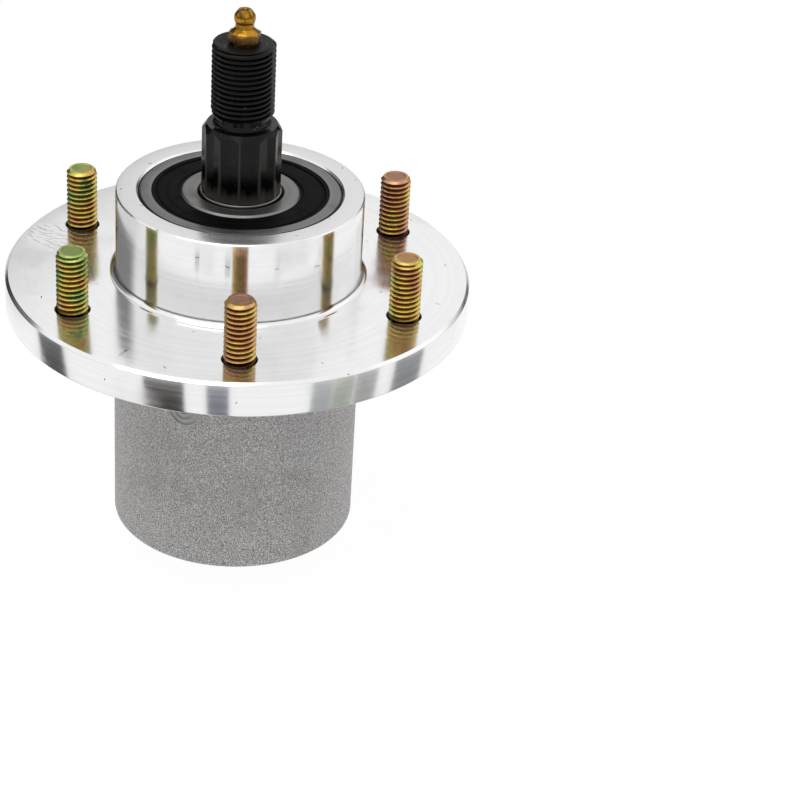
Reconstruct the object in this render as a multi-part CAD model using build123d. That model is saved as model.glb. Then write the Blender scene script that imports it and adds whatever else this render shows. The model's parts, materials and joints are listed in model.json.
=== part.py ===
from build123d import *
import math
import os

# Mower deck spindle. Millimetres, +Z up along the shaft. The origin is on the
# shaft's axis, in the flange's top face, which bears against the deck.

# Housing: one aluminium casting with a machined flange, boss and bores
flange_radius = 71.3
flange_thickness = 10.9
flange_top_chamfer = 0.9
flange_bottom_round = 0.5
boss_radius = 37.8
boss_height = 27.0
boss_edge_chamfer = 0.45
boss_root_radius = 1.8
boss_root_step = 0.25
barrel_radius = 38.25
barrel_length = 74.8
barrel_root_radius = 6.0
barrel_edge_round = 1.6
pocket_mouth_chamfer = 0.4
pocket_shoulder = 4.0

# Round foundry mark on the barrel: grooves around plain rings
mark_angle = -24.9
mark_drop = 19.4
mark_radius = 5.2
mark_depth = 0.45
mark_groove_width = 1.1
mark_ring_width = 0.7
mark_groove_count = 3

# Deck studs: 3/8-16 thread, pressed in from below by a ribbed neck
stud_count = 6
stud_circle_radius = 57.0
stud_thread_radius = 4.7625
stud_height = 19.5
stud_end_chamfer = 0.9
stud_relief_depth = 0.6
stud_hole_radius = 5.05
stud_hole_chamfer = 0.35
stud_head_radius = 8.5
stud_head_edge = 1.6
stud_head_dome = 1.9
stud_rib_count = 18
stud_rib_depth = 0.35
stud_rib_length = 6.5

# Ball bearings: standard size 6305 with a rubber seal on both sides
bearing_bore = 25.0
bearing_outside = 62.0
bearing_width = 17.0
bearing_corner = 1.1
bearing_recess = 0.3
ball_diameter = 11.509
ball_count = 7
race_radius_share = 0.52
land_offset = 3.65
inner_ring_chamfer = 0.55
seal_rim_wall = 4.07
seal_seat_depth = 1.5
seal_groove_depth = 0.4
seal_groove_lip = 0.7
seal_recess = 0.3
seal_rim_width = 1.0
seal_channel_width = 0.9
seal_channel_depth = 0.45
seal_lip_width = 1.0
seal_lip_drop = 0.35
cage_half_width = 2.45
cage_floor = 0.75
cage_rise = 2.2

# Shaft: 3/4-16 thread, neck relief, 12-point star, journals and blade seat
thread_radius = 9.525
thread_length = 22.5
thread_end_chamfer = 0.6
thread_start_chamfer = 0.7
neck_depth = 1.125
neck_length = 3.2
star_points = 12
star_angle = -3.6
star_height = 21.8
star_step = 0.4
star_depth = 0.9
star_face_width = 2.2
star_chamfer_height = 2.0
journal_lip_height = 0.6
journal_lip_round = 0.35
waist_depth = 0.5
waist_inset = 3.0
shoulder_step = 1.1
seat_gap = 1.8
seat_radius = 20.0
seat_thickness = 8.0
seat_edge_chamfer = 0.8
blade_bolt_hole_radius = 5.1
blade_bolt_hole_depth = 28.0
blade_bolt_mouth_chamfer = 0.9
grease_hole_radius = 1.5
spacer_wall = 3.0

# Grease fitting: M8 shank, 9 mm hexagon, 6.4 mm ball head
fitting_shank_radius = 4.0
fitting_shank_length = 6.0
fitting_standoff = 0.8
fitting_hex_flats = 9.0
fitting_hex_height = 2.2
fitting_hex_angle = 11.0
fitting_hex_chamfer = 0.5
fitting_cone_height = 1.6
fitting_neck_radius = 2.75
fitting_neck_length = 1.3
fitting_head_radius = 3.2
fitting_tip_radius = 2.0
check_ball_radius = 1.19
check_ball_depth = 0.45
check_ball_seat_share = 0.8
spring_wire_radius = 0.16
spring_pitch = 1.3
fitting_ledge_radius = 0.8
fitting_ledge_height = 0.6

# Clearances
press_gap = 0.01
spacer_gap = 0.06
ball_gap = 0.03
cage_gap = 0.08
seal_gap = 0.05
seal_seat_gap = 0.02
socket_gap = 0.02
valve_gap = 0.06

# Heights and radii worked out from the sizes above
barrel_bottom = -flange_thickness - barrel_length
pocket_radius = bearing_outside / 2 + press_gap
upper_bearing_top = boss_height - bearing_recess
upper_bearing_bottom = upper_bearing_top - bearing_width
lower_bearing_bottom = barrel_bottom + bearing_recess
lower_bearing_top = lower_bearing_bottom + bearing_width
ball_circle_radius = (bearing_bore + bearing_outside) / 4
ball_radius = ball_diameter / 2
race_radius = race_radius_share * ball_diameter
inner_land_radius = ball_circle_radius - land_offset
outer_land_radius = ball_circle_radius + land_offset
seal_seat_radius = bearing_outside / 2 - seal_rim_wall
journal_radius = bearing_bore / 2 - press_gap
lip_top = upper_bearing_top + journal_lip_height
star_top = lip_top + star_height
neck_top = star_top + neck_length
shaft_top = neck_top + thread_length
star_tip_radius = journal_radius - star_step
star_valley_radius = star_tip_radius - star_depth
star_face_radius = thread_radius - neck_depth + star_face_width
neck_radius = thread_radius - neck_depth
seat_top = barrel_bottom - seat_gap
seat_bottom = seat_top - seat_thickness
grease_hole_height = (upper_bearing_bottom + lower_bearing_top) / 2
fitting_hex_bottom = shaft_top + fitting_standoff
fitting_neck_bottom = fitting_hex_bottom + fitting_hex_height + fitting_cone_height
fitting_neck_top = fitting_neck_bottom + fitting_neck_length
fitting_head_rise = math.sqrt(fitting_head_radius**2 - fitting_neck_radius**2)
fitting_head_height = fitting_neck_top + fitting_head_rise
fitting_tip_rise = math.sqrt(fitting_head_radius**2 - fitting_tip_radius**2)
fitting_top = fitting_head_height + fitting_tip_rise
fitting_bottom = shaft_top - fitting_shank_length
check_ball_height = fitting_top - check_ball_depth - check_ball_radius
check_ball_seat_radius = check_ball_seat_share * check_ball_radius
valve_chamber_radius = check_ball_radius + valve_gap
spring_coil_radius = check_ball_radius - spring_wire_radius - valve_gap


def turned(*corners):
    """The solid turned about Z from a half section's corners, each a radius and a height."""
    points = [(radius, 0, height) for radius, height in corners]
    return revolve(make_face(Polyline(*points, close=True)), Axis.Z)


def ring_edges(solid, radius, height):
    """The round edges about Z that have this radius and height."""
    rounds = solid.edges().filter_by(GeomType.CIRCLE)
    return rounds.filter_by(
        lambda edge: abs(edge.radius - radius) < 1e-4
        and abs(edge.arc_center.Z - height) < 1e-4
        and abs(edge.arc_center.X) < 1e-4
    )


def around(angle, radius=0.0, height=0.0):
    """A place about Z, by its angle from the front (-Y), with local X pointing outward."""
    return Rot(0, 0, angle - 90) * Pos(radius, 0, height)


def star_outline(points, tip_radius, valley_radius, first_angle):
    """A star's corners about the origin, one tip and one valley by turns."""
    corners = []
    for step in range(2 * points):
        radius = tip_radius if step % 2 == 0 else valley_radius
        angle = math.radians(first_angle - 90 + 180 * step / points)
        corners.append((radius * math.cos(angle), radius * math.sin(angle)))
    return make_face(Polyline(*corners, close=True))


def housing_blank():
    """The casting turned about Z: boss, flange and barrel around two bearing pockets."""
    upper_end = upper_bearing_bottom
    lower_end = lower_bearing_top
    bore_radius = pocket_radius - pocket_shoulder
    root_top = boss_root_step + boss_root_radius
    root_edge = boss_radius + boss_root_radius
    slant = boss_root_radius * math.sqrt(0.5)
    inner = Polyline(
        (root_edge, 0, boss_root_step),
        (root_edge, 0, 0),
        (flange_radius, 0, 0),
        (flange_radius, 0, -flange_thickness),
        (barrel_radius, 0, -flange_thickness),
        (barrel_radius, 0, barrel_bottom),
        (pocket_radius, 0, barrel_bottom),
        (pocket_radius, 0, lower_end),
        (bore_radius, 0, lower_end),
        (bore_radius, 0, upper_end),
        (pocket_radius, 0, upper_end),
        (pocket_radius, 0, boss_height),
        (boss_radius, 0, boss_height),
        (boss_radius, 0, root_top),
    )
    root = ThreePointArc(
        (boss_radius, 0, root_top),
        (root_edge - slant, 0, root_top - slant),
        (root_edge, 0, boss_root_step),
    )
    return revolve(make_face(inner + root), Axis.Z)


def foundry_mark():
    """The round grooves that the mark leaves in the barrel, one inside the other."""
    grooves = []
    reach = 2 * mark_depth
    core = Pos(0, 0, barrel_bottom / 2) * Cylinder(barrel_radius - mark_depth, -barrel_bottom)
    pitch = mark_groove_width + mark_ring_width
    place = around(mark_angle, barrel_radius, -flange_thickness - mark_drop) * Rot(0, 90, 0)
    for turn in range(mark_groove_count):
        outer = mark_radius - turn * pitch
        groove = Cylinder(outer, 2 * reach)
        if outer > mark_groove_width:
            groove -= Cylinder(outer - mark_groove_width, 2 * reach)
        grooves.append(place * groove - core)
    return grooves


def make_housing():
    housing = housing_blank()
    housing = chamfer(ring_edges(housing, flange_radius, 0), flange_top_chamfer)
    housing = fillet(ring_edges(housing, flange_radius, -flange_thickness), flange_bottom_round)
    housing = fillet(ring_edges(housing, barrel_radius, -flange_thickness), barrel_root_radius)
    housing = fillet(ring_edges(housing, barrel_radius, barrel_bottom), barrel_edge_round)
    housing = chamfer(ring_edges(housing, boss_radius, boss_height), boss_edge_chamfer)
    housing = chamfer(ring_edges(housing, pocket_radius, boss_height), pocket_mouth_chamfer)
    housing = chamfer(ring_edges(housing, pocket_radius, barrel_bottom), pocket_mouth_chamfer)
    hole = Pos(0, 0, -flange_thickness / 2) * Cylinder(stud_hole_radius, 2 * flange_thickness)
    mouth = Pos(0, 0, -stud_hole_chamfer / 2) * Cone(
        stud_hole_radius, stud_hole_radius + stud_hole_chamfer, stud_hole_chamfer
    )
    for place in stud_places():
        housing -= place * (hole + mouth)
    for groove in foundry_mark():
        housing -= groove
    return housing


def stud_places():
    """The studs' places in the flange, the first at the front."""
    return [around(360 * turn / stud_count, stud_circle_radius) for turn in range(stud_count)]


def make_stud():
    """One stud: domed head, ribbed neck and relieved shank in the flange, plain rod for the thread."""
    seat = -flange_thickness
    rim = seat - stud_head_edge
    crown = rim - stud_head_dome
    half = stud_head_radius / 2
    dome_radius = (stud_head_radius**2 + stud_head_dome**2) / (2 * stud_head_dome)
    bow = crown + dome_radius - math.sqrt(dome_radius**2 - half**2)
    sides = Polyline((0, 0, crown), (0, 0, seat), (stud_head_radius, 0, seat), (stud_head_radius, 0, rim))
    dome = ThreePointArc((stud_head_radius, 0, rim), (half, 0, bow), (0, 0, crown))
    head = revolve(make_face(sides + dome), Axis.Z)
    shank_radius = stud_thread_radius - stud_relief_depth
    rod = turned(
        (0, seat),
        (shank_radius, seat),
        (shank_radius, -stud_relief_depth),
        (stud_thread_radius, 0),
        (stud_thread_radius, stud_height - stud_end_chamfer),
        (stud_thread_radius - stud_end_chamfer, stud_height),
        (0, stud_height),
    )
    rib_radius = stud_hole_radius - press_gap
    ribs = star_outline(stud_rib_count, rib_radius, rib_radius - stud_rib_depth, 0)
    neck = Pos(0, 0, seat) * extrude(ribs, stud_rib_length)
    return head + rod + neck


def make_outer_ring():
    """Outer ring, centred on its ball circle, with a seal seat at both faces."""
    face = bearing_width / 2
    ledge = face - seal_seat_depth
    groove = seal_seat_radius + seal_groove_depth
    lip = face - seal_groove_lip
    half = [(seal_seat_radius, face), (seal_seat_radius, lip), (groove, lip), (groove, ledge)]
    half.append((outer_land_radius, ledge))
    mirrored = [(radius, -height) for radius, height in reversed(half)]
    outside = bearing_outside / 2
    ring = turned(*half, *mirrored, (outside, -face), (outside, face))
    ring = fillet(ring_edges(ring, outside, face) + ring_edges(ring, outside, -face), bearing_corner)
    race_bottom = ball_circle_radius + ball_radius + ball_gap
    return ring - Torus(race_bottom - race_radius, race_radius)


def make_inner_ring():
    """Inner ring, centred on its ball circle."""
    face = bearing_width / 2
    bore = bearing_bore / 2
    ring = turned(
        (bore, -face),
        (inner_land_radius, -face),
        (inner_land_radius, face),
        (bore, face),
    )
    ring = fillet(ring_edges(ring, bore, face) + ring_edges(ring, bore, -face), bearing_corner)
    rims = ring_edges(ring, inner_land_radius, face) + ring_edges(ring, inner_land_radius, -face)
    ring = chamfer(rims, inner_ring_chamfer)
    race_bottom = ball_circle_radius - ball_radius - ball_gap
    return ring - Torus(race_bottom + race_radius, race_radius)


def make_seal():
    """The seal for the upper face: rim in its groove, channel, web and lip on the inner ring."""
    face = bearing_width / 2
    back = face - seal_seat_depth
    front = face - seal_recess
    rim = seal_seat_radius + seal_groove_depth - seal_seat_gap
    bead = face - seal_groove_lip - seal_seat_gap
    edge = seal_seat_radius - seal_seat_gap
    channel = edge - seal_rim_width
    web = channel - seal_channel_width
    lip = inner_land_radius + seal_gap
    return turned(
        (rim, back),
        (rim, bead),
        (edge, bead),
        (edge, front),
        (channel, front),
        (channel, front - seal_channel_depth),
        (web, front - seal_channel_depth),
        (web, front),
        (lip + seal_lip_width, front),
        (lip + seal_lip_width, front - seal_lip_drop),
        (lip, front - seal_lip_drop),
        (lip, back),
    )


def make_cage():
    """The moulded cage, a ring with an open-topped round pocket for each ball."""
    pocket_radius_here = ball_radius + cage_gap
    bottom = -pocket_radius_here - cage_floor
    inner = ball_circle_radius - cage_half_width
    outer = ball_circle_radius + cage_half_width
    cage = turned((inner, bottom), (outer, bottom), (outer, cage_rise), (inner, cage_rise))
    for place in ball_places():
        cage -= place * Sphere(pocket_radius_here)
    return cage


def ball_places():
    """The balls' places on their circle, the first at the front."""
    return [around(360 * turn / ball_count, ball_circle_radius) for turn in range(ball_count)]


def make_bearing(name, bottom):
    """Every piece of one bearing, by node name, with its lower face at this height."""
    place = Pos(0, 0, bottom + bearing_width / 2)
    seal = make_seal()
    pieces = {
        name + "_outer_ring": place * make_outer_ring(),
        name + "_inner_ring": place * make_inner_ring(),
        name + "_cage": place * make_cage(),
        name + "_top_seal": place * seal,
        name + "_bottom_seal": place * Rot(180, 0, 0) * seal,
    }
    for number, ball_place in enumerate(ball_places(), start=1):
        pieces[f"{name}_ball_{number}"] = place * ball_place * Sphere(ball_radius)
    return pieces


def shaft_blank():
    """The shaft turned about Z, from the blade seat up to the thread's end."""
    shoulder_radius = inner_land_radius - shoulder_step
    waist_radius = journal_radius - waist_depth
    waist_low = lower_bearing_top - waist_inset
    waist_high = upper_bearing_bottom + waist_inset
    return turned(
        (0, seat_bottom),
        (seat_radius - seat_edge_chamfer, seat_bottom),
        (seat_radius, seat_bottom + seat_edge_chamfer),
        (seat_radius, seat_top - seat_edge_chamfer),
        (seat_radius - seat_edge_chamfer, seat_top),
        (shoulder_radius, seat_top),
        (shoulder_radius, lower_bearing_bottom),
        (journal_radius, lower_bearing_bottom),
        (journal_radius, waist_low),
        (waist_radius, waist_low + waist_depth),
        (waist_radius, waist_high - waist_depth),
        (journal_radius, waist_high),
        (journal_radius, lip_top - journal_lip_round),
        (journal_radius - journal_lip_round, lip_top),
        (neck_radius, lip_top),
        (neck_radius, neck_top),
        (thread_radius - thread_start_chamfer, neck_top),
        (thread_radius, neck_top + thread_start_chamfer),
        (thread_radius, shaft_top - thread_end_chamfer),
        (thread_radius - thread_end_chamfer, shaft_top),
        (0, shaft_top),
    )


def shaft_star():
    """The 12-point star, with its tips cut back to a cone at the top."""
    outline = star_outline(star_points, star_tip_radius, star_valley_radius, star_angle)
    prism = Pos(0, 0, lip_top) * extrude(outline, star_height)
    envelope_radius = star_tip_radius + star_depth
    slope = (star_tip_radius - star_face_radius) / star_chamfer_height
    cone_height = (envelope_radius - star_face_radius) / slope
    envelope = turned(
        (0, lip_top),
        (envelope_radius, lip_top),
        (envelope_radius, star_top - cone_height),
        (star_face_radius, star_top),
        (0, star_top),
    )
    return prism & envelope


def shaft_holes():
    """Fitting socket, grease passage, cross hole and the blade bolt's hole."""
    socket_bottom = fitting_bottom - fitting_standoff
    socket = turned(
        (0, socket_bottom),
        (fitting_shank_radius + socket_gap, socket_bottom),
        (fitting_shank_radius + socket_gap, shaft_top),
        (0, shaft_top),
    )
    passage_length = socket_bottom - grease_hole_height
    passage_middle = (socket_bottom + grease_hole_height) / 2
    passage = Pos(0, 0, passage_middle) * Cylinder(grease_hole_radius, passage_length)
    bolt_end = seat_bottom + blade_bolt_hole_depth
    bolt = turned(
        (0, seat_bottom),
        (blade_bolt_hole_radius + blade_bolt_mouth_chamfer, seat_bottom),
        (blade_bolt_hole_radius, seat_bottom + blade_bolt_mouth_chamfer),
        (blade_bolt_hole_radius, bolt_end),
        (0, bolt_end + blade_bolt_hole_radius / 2),
    )
    return [socket, passage, cross_hole(2 * journal_radius), bolt]


def cross_hole(length):
    """A hole through both walls, level with the middle of the grease space."""
    return Pos(0, 0, grease_hole_height) * Rot(0, 90, 0) * Cylinder(grease_hole_radius, length)


def make_shaft():
    shaft = shaft_blank() + shaft_star()
    for hole in shaft_holes():
        shaft -= hole
    return shaft


def make_spacer():
    """The sleeve that holds the two inner rings apart."""
    inner = journal_radius + spacer_gap
    outer = inner + spacer_wall
    spacer = turned(
        (inner, lower_bearing_top),
        (outer, lower_bearing_top),
        (outer, upper_bearing_bottom),
        (inner, upper_bearing_bottom),
    )
    return spacer - cross_hole(3 * outer)


def make_fitting_body():
    """Grease fitting body: shank, hexagon, neck and ball head around the valve chamber."""
    shank = Pos(0, 0, (fitting_bottom + fitting_hex_bottom) / 2) * Cylinder(
        fitting_shank_radius, fitting_hex_bottom - fitting_bottom
    )
    hexagon = RegularPolygon(fitting_hex_flats / 2, 6, major_radius=False)
    block = Pos(0, 0, fitting_hex_bottom) * Rot(0, 0, -fitting_hex_angle) * extrude(
        hexagon, fitting_hex_height
    )
    corner = fitting_hex_flats / math.sqrt(3)
    hex_top = fitting_hex_bottom + fitting_hex_height
    trim = turned(
        (0, fitting_hex_bottom),
        (corner - fitting_hex_chamfer, fitting_hex_bottom),
        (corner, fitting_hex_bottom + fitting_hex_chamfer),
        (corner, hex_top - fitting_hex_chamfer),
        (corner - 2 * fitting_hex_chamfer, hex_top),
        (0, hex_top),
    )
    cone = turned(
        (0, hex_top),
        (fitting_neck_radius + fitting_cone_height / 2, hex_top),
        (fitting_neck_radius, fitting_neck_bottom),
        (fitting_neck_radius, fitting_head_height),
        (0, fitting_head_height),
    )
    ball_box = Pos(0, 0, fitting_head_height) * Cylinder(fitting_head_radius, 2 * fitting_tip_rise)
    head = Pos(0, 0, fitting_head_height) * Sphere(fitting_head_radius) & ball_box
    return shank + (block & trim) + cone + head - valve_space()


def valve_space():
    """The hollow of the fitting: mouth, ball seat, spring chamber and bottom ledge."""
    seat_rise = math.sqrt((check_ball_radius + valve_gap / 2) ** 2 - check_ball_seat_radius**2)
    seat_height = check_ball_height + seat_rise
    chamber_bottom = fitting_bottom + fitting_ledge_height
    return turned(
        (0, fitting_bottom),
        (fitting_ledge_radius, fitting_bottom),
        (fitting_ledge_radius, chamber_bottom),
        (valve_chamber_radius, chamber_bottom),
        (valve_chamber_radius, seat_height),
        (check_ball_seat_radius, seat_height),
        (check_ball_seat_radius, fitting_top),
        (0, fitting_top),
    )


def make_check_spring():
    """The coil spring that holds the check ball up against its seat."""
    low = fitting_bottom + fitting_ledge_height + spring_wire_radius + valve_gap / 2
    high = check_ball_height - math.sqrt(check_ball_radius**2 - spring_coil_radius**2) - spring_wire_radius
    high -= valve_gap
    path = Pos(0, 0, low) * Helix(spring_pitch, high - low, spring_coil_radius)
    wire = Plane(path @ 0, z_dir=path % 0) * Circle(spring_wire_radius)
    return sweep(wire, path=path, is_frenet=True)


def make_parts():
    """Every piece of the spindle by node name."""
    parts = {
        "housing": make_housing(),
        "deck_studs": Compound([(place * make_stud()).solid() for place in stud_places()]),
        "shaft": make_shaft(),
        "bearing_spacer": make_spacer(),
        "grease_fitting_body": make_fitting_body(),
        "grease_check_ball": Pos(0, 0, check_ball_height) * Sphere(check_ball_radius),
        "grease_check_spring": make_check_spring(),
    }
    parts.update(make_bearing("upper", upper_bearing_bottom))
    parts.update(make_bearing("lower", lower_bearing_bottom))
    return parts


os.makedirs("parts", exist_ok=True)
for node, shape in make_parts().items():
    export_step(shape, f"parts/{node}.step")
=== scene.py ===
import json
import math
import random

import bpy
from mathutils import Matrix, Quaternion, Vector


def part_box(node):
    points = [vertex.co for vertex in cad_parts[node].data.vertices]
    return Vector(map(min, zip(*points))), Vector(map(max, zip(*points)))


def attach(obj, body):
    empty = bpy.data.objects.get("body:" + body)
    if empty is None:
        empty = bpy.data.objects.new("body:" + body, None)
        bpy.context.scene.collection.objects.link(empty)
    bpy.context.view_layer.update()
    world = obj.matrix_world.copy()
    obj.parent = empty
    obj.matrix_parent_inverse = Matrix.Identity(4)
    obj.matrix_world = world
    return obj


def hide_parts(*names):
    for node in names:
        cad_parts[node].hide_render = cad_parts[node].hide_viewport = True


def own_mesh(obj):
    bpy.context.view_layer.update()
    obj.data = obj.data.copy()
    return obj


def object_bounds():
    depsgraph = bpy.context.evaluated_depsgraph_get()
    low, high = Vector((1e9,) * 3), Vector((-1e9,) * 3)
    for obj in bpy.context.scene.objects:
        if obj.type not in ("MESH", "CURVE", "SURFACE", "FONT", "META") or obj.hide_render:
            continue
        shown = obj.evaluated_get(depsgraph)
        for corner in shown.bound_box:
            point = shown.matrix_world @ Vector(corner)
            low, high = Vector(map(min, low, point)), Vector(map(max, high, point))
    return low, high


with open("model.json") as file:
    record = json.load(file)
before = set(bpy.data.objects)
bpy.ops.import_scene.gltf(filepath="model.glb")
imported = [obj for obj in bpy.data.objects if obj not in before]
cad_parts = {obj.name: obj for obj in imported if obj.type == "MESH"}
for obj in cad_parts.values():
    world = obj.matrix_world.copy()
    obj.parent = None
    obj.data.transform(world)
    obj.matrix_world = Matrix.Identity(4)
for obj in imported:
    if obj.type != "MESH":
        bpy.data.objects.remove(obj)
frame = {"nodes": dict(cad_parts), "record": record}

bl_info = {
    "name": "Mower Deck Spindle",
    "version": (1, 0, 0),
    "blender": (4, 5, 0),
    "location": "View3D > Sidebar > Spindle",
    "description": "Dresses the packed deck spindle: housing, studs, star shaft, bearings and grease fitting",
    "category": "Object",
}

MM = 0.001
AXIS_REACH = 0.0001 * MM
THREAD_MERGE = 0.004 * MM
FINISH = "spindle_"
BEARINGS = ("upper", "lower")
CAD_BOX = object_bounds()
MOUNTS = {mount["name"]: mount for mount in frame["record"]["mounts"]}


def top_of(node):
    """The height of a CAD node's highest point, in metres."""
    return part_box(node)[1].z


def bottom_of(node):
    """The height of a CAD node's lowest point, in metres."""
    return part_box(node)[0].z


def reach_of(node):
    """How far a CAD node reaches from the axis along X, in metres."""
    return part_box(node)[1].x


def length(label, description, value):
    """A property in metres, shown as a length."""
    return bpy.props.FloatProperty(
        name=label, description=description, default=value, unit="LENGTH", precision=5
    )


def share(label, description, value):
    """A property between 0 and 1."""
    return bpy.props.FloatProperty(
        name=label, description=description, default=value, min=0.0, max=1.0, subtype="FACTOR"
    )


def tint(label, description, value):
    """A colour property."""
    return bpy.props.FloatVectorProperty(
        name=label, description=description, default=value, size=3, min=0.0, max=1.0, subtype="COLOR"
    )


def angle(label, description, degrees):
    """An angle, given in degrees and held in radians."""
    return bpy.props.FloatProperty(
        name=label, description=description, default=math.radians(degrees), subtype="ANGLE"
    )


def whole(label, description, value):
    """A whole number from 1 up."""
    return bpy.props.IntProperty(name=label, description=description, default=value, min=1)


def power(label, description, value):
    """A lamp's power, in watts."""
    return bpy.props.FloatProperty(name=label, description=description, default=value, unit="POWER")


class HousingSizes(bpy.types.PropertyGroup):
    """Sizes of the turned and cast housing"""

    flange_radius: length("Flange radius", "Outer radius of the deck flange", reach_of("housing"))
    flange_thickness: length("Flange thickness", "From the deck face to the underside", 10.9 * MM)
    flange_chamfer: length("Flange chamfer", "Chamfer on the flange's upper edge", 0.9 * MM)
    boss_radius: length("Boss radius", "Radius of the boss above the deck face",
                        MOUNTS["boss_pilot"]["dims"]["r_mm"] * MM)
    boss_height: length("Boss height", "Top of the boss above the deck face", top_of("housing"))
    boss_chamfer: length("Boss chamfer", "Chamfer on the boss's upper edge", 0.45 * MM)
    root_radius: length("Root radius", "Hollow round at the foot of the boss", 1.8 * MM)
    root_step: length("Root step", "Step where that round ends", 0.25 * MM)
    barrel_radius: length("Barrel radius", "Radius of the cast barrel", 38.25 * MM)
    barrel_bottom: length("Barrel bottom", "Height of the barrel's lower end", bottom_of("housing"))
    barrel_root: length("Barrel root", "Round between the barrel and the flange", 6.0 * MM)
    barrel_round: length("Barrel edge round", "Round on the barrel's lower edge", 1.6 * MM)
    pocket_radius: length("Pocket radius", "Radius of the bearing pockets",
                          reach_of("upper_outer_ring") + 0.01 * MM)
    pocket_chamfer: length("Pocket chamfer", "Chamfer on the pockets' mouths", 0.6 * MM)
    shoulder: length("Shoulder", "Width of the shoulder behind each bearing", 4.0 * MM)
    hole_radius: length("Stud hole radius", "Radius of the stud holes", 5.05 * MM)
    hole_chamfer: length("Stud hole chamfer", "Chamfer on the stud holes", 0.35 * MM)
    edge_round: length("Edge round", "Wear round on the machined edges", 0.12 * MM)
    nick_width: length("Nick width", "Width of the nicks that handling left", 0.34 * MM)
    nick_depth: length("Nick depth", "Depth of those nicks", 0.13 * MM)
    nick_seed: whole("Nick pattern", "Which spread of nicks is used", 11)
    mark_angle: angle("Mark angle", "Foundry mark's angle from the front", -24.9)
    mark_drop: length("Mark drop", "Foundry mark's centre below the flange", 19.4 * MM)
    mark_radius: length("Mark radius", "Radius of the foundry mark", 5.2 * MM)
    mark_depth: length("Mark depth", "Depth of the mark's grooves", 0.45 * MM)
    mark_groove: length("Mark groove", "Width of one groove of the mark", 1.1 * MM)
    mark_ring: length("Mark ring", "Width of the metal between grooves", 0.7 * MM)


class StudSizes(bpy.types.PropertyGroup):
    """Sizes of the deck studs"""

    count: whole("Count", "Number of studs", MOUNTS["deck_studs"]["dims"]["count"])
    circle_radius: length("Circle radius", "Radius of the circle that the studs stand on",
                          MOUNTS["deck_studs"]["dims"]["pcd_mm"] / 2 * MM)
    thread_radius: length("Thread radius", "Radius over the thread's crests",
                          MOUNTS["deck_studs"]["dims"]["stud_r_mm"] * MM)
    pitch: length("Thread pitch", "Sixteen turns to the inch", 25.4 / 16 * MM)
    top: length("Stud top", "Height of the studs' ends", top_of("deck_studs"))
    end_chamfer: length("End chamfer", "Chamfer on the studs' ends", 0.9 * MM)
    dish_radius: length("Dish radius", "Radius of the shallow dish in the studs' ends", 3.1 * MM)
    dish_depth: length("Dish depth", "Depth of that dish", 0.28 * MM)
    head_radius: length("Head radius", "Radius of the heads under the flange", 8.5 * MM)
    head_edge: length("Head edge", "Height of a head's straight edge", 1.6 * MM)
    head_dome: length("Head dome", "Height of a head's dome", 1.9 * MM)
    rib_count: whole("Ribs", "Ribs round the neck", 18)
    rib_depth: length("Rib depth", "Depth of the neck's ribs", 0.35 * MM)
    rib_length: length("Rib length", "Length of the ribbed neck", 6.5 * MM)
    films: bpy.props.FloatVectorProperty(
        name="Films", description="Each stud's plating, from copper 0 to green 1, from the front",
        size=6, min=0.0, max=1.0, default=(0.30, 0.42, 0.22, 0.45, 0.60, 0.65))


class ShaftSizes(bpy.types.PropertyGroup):
    """Sizes of the shaft"""

    bottom: length("Bottom", "Height of the blade seat", bottom_of("shaft"))
    top: length("Top", "Height of the threaded end", top_of("shaft"))
    seat_radius: length("Seat radius", "Radius of the blade seat", reach_of("shaft"))
    seat_thickness: length("Seat thickness", "Thickness of the blade seat", 8.0 * MM)
    seat_chamfer: length("Seat chamfer", "Chamfer on the blade seat's edges", 0.8 * MM)
    bolt_radius: length("Bolt hole radius", "Radius of the blade bolt's hole",
                        MOUNTS["blade_bolt"]["dims"]["r_mm"] * MM)
    bolt_depth: length("Bolt hole depth", "Depth of the blade bolt's hole", 28.0 * MM)
    bolt_chamfer: length("Bolt hole chamfer", "Chamfer on that hole's mouth", 0.9 * MM)
    shoulder_step: length("Shoulder step", "Shoulder inside the inner ring's land", 1.1 * MM)
    journal_radius: length("Journal radius", "Radius of the bearing journals", 12.49 * MM)
    journal_lip: length("Journal lip", "How far the journal stands above its bearing", 0.6 * MM)
    lip_round: length("Lip round", "Round on the journal's upper edge", 0.35 * MM)
    star_points: whole("Star points", "Points of the star", 12)
    star_angle: angle("Star angle", "One point's angle from the front", -3.6)
    star_height: length("Star height", "Length of the star", 21.8 * MM)
    star_tip: length("Star tip radius", "Radius over the star's points", 12.09 * MM)
    star_valley: length("Star valley radius", "Radius in the star's valleys", 11.19 * MM)
    star_face: length("Star face radius", "Radius of the flat face on top of the star", 10.6 * MM)
    star_chamfer: length("Star chamfer", "Height of the cone that cuts the points", 2.0 * MM)
    star_round: length("Star edge round", "Round on the star's edges", 0.16 * MM)
    neck_radius: length("Neck radius", "Radius of the relief under the thread", 8.4 * MM)
    neck_length: length("Neck length", "Length of the relief under the thread", 3.2 * MM)
    thread_radius: length("Thread radius", "Radius over the thread's crests",
                          MOUNTS["pulley_nut_thread"]["dims"]["r_mm"] * MM)
    pitch: length("Thread pitch", "Sixteen turns to the inch", 25.4 / 16 * MM)
    socket_gap: length("Socket gap", "Gap round the grease fitting's shank", 0.02 * MM)
    grease_hole: length("Grease hole radius", "Radius of the grease passage and cross hole", 1.5 * MM)
    waist_depth: length("Waist depth", "Relief between the two journals", 0.5 * MM)
    waist_inset: length("Waist inset", "How far each journal reaches past its bearing", 3.0 * MM)
    end_chamfer: length("End chamfer", "Chamfer on the threaded end", 0.6 * MM)
    start_chamfer: length("Start chamfer", "Chamfer where the thread starts", 0.7 * MM)


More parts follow.
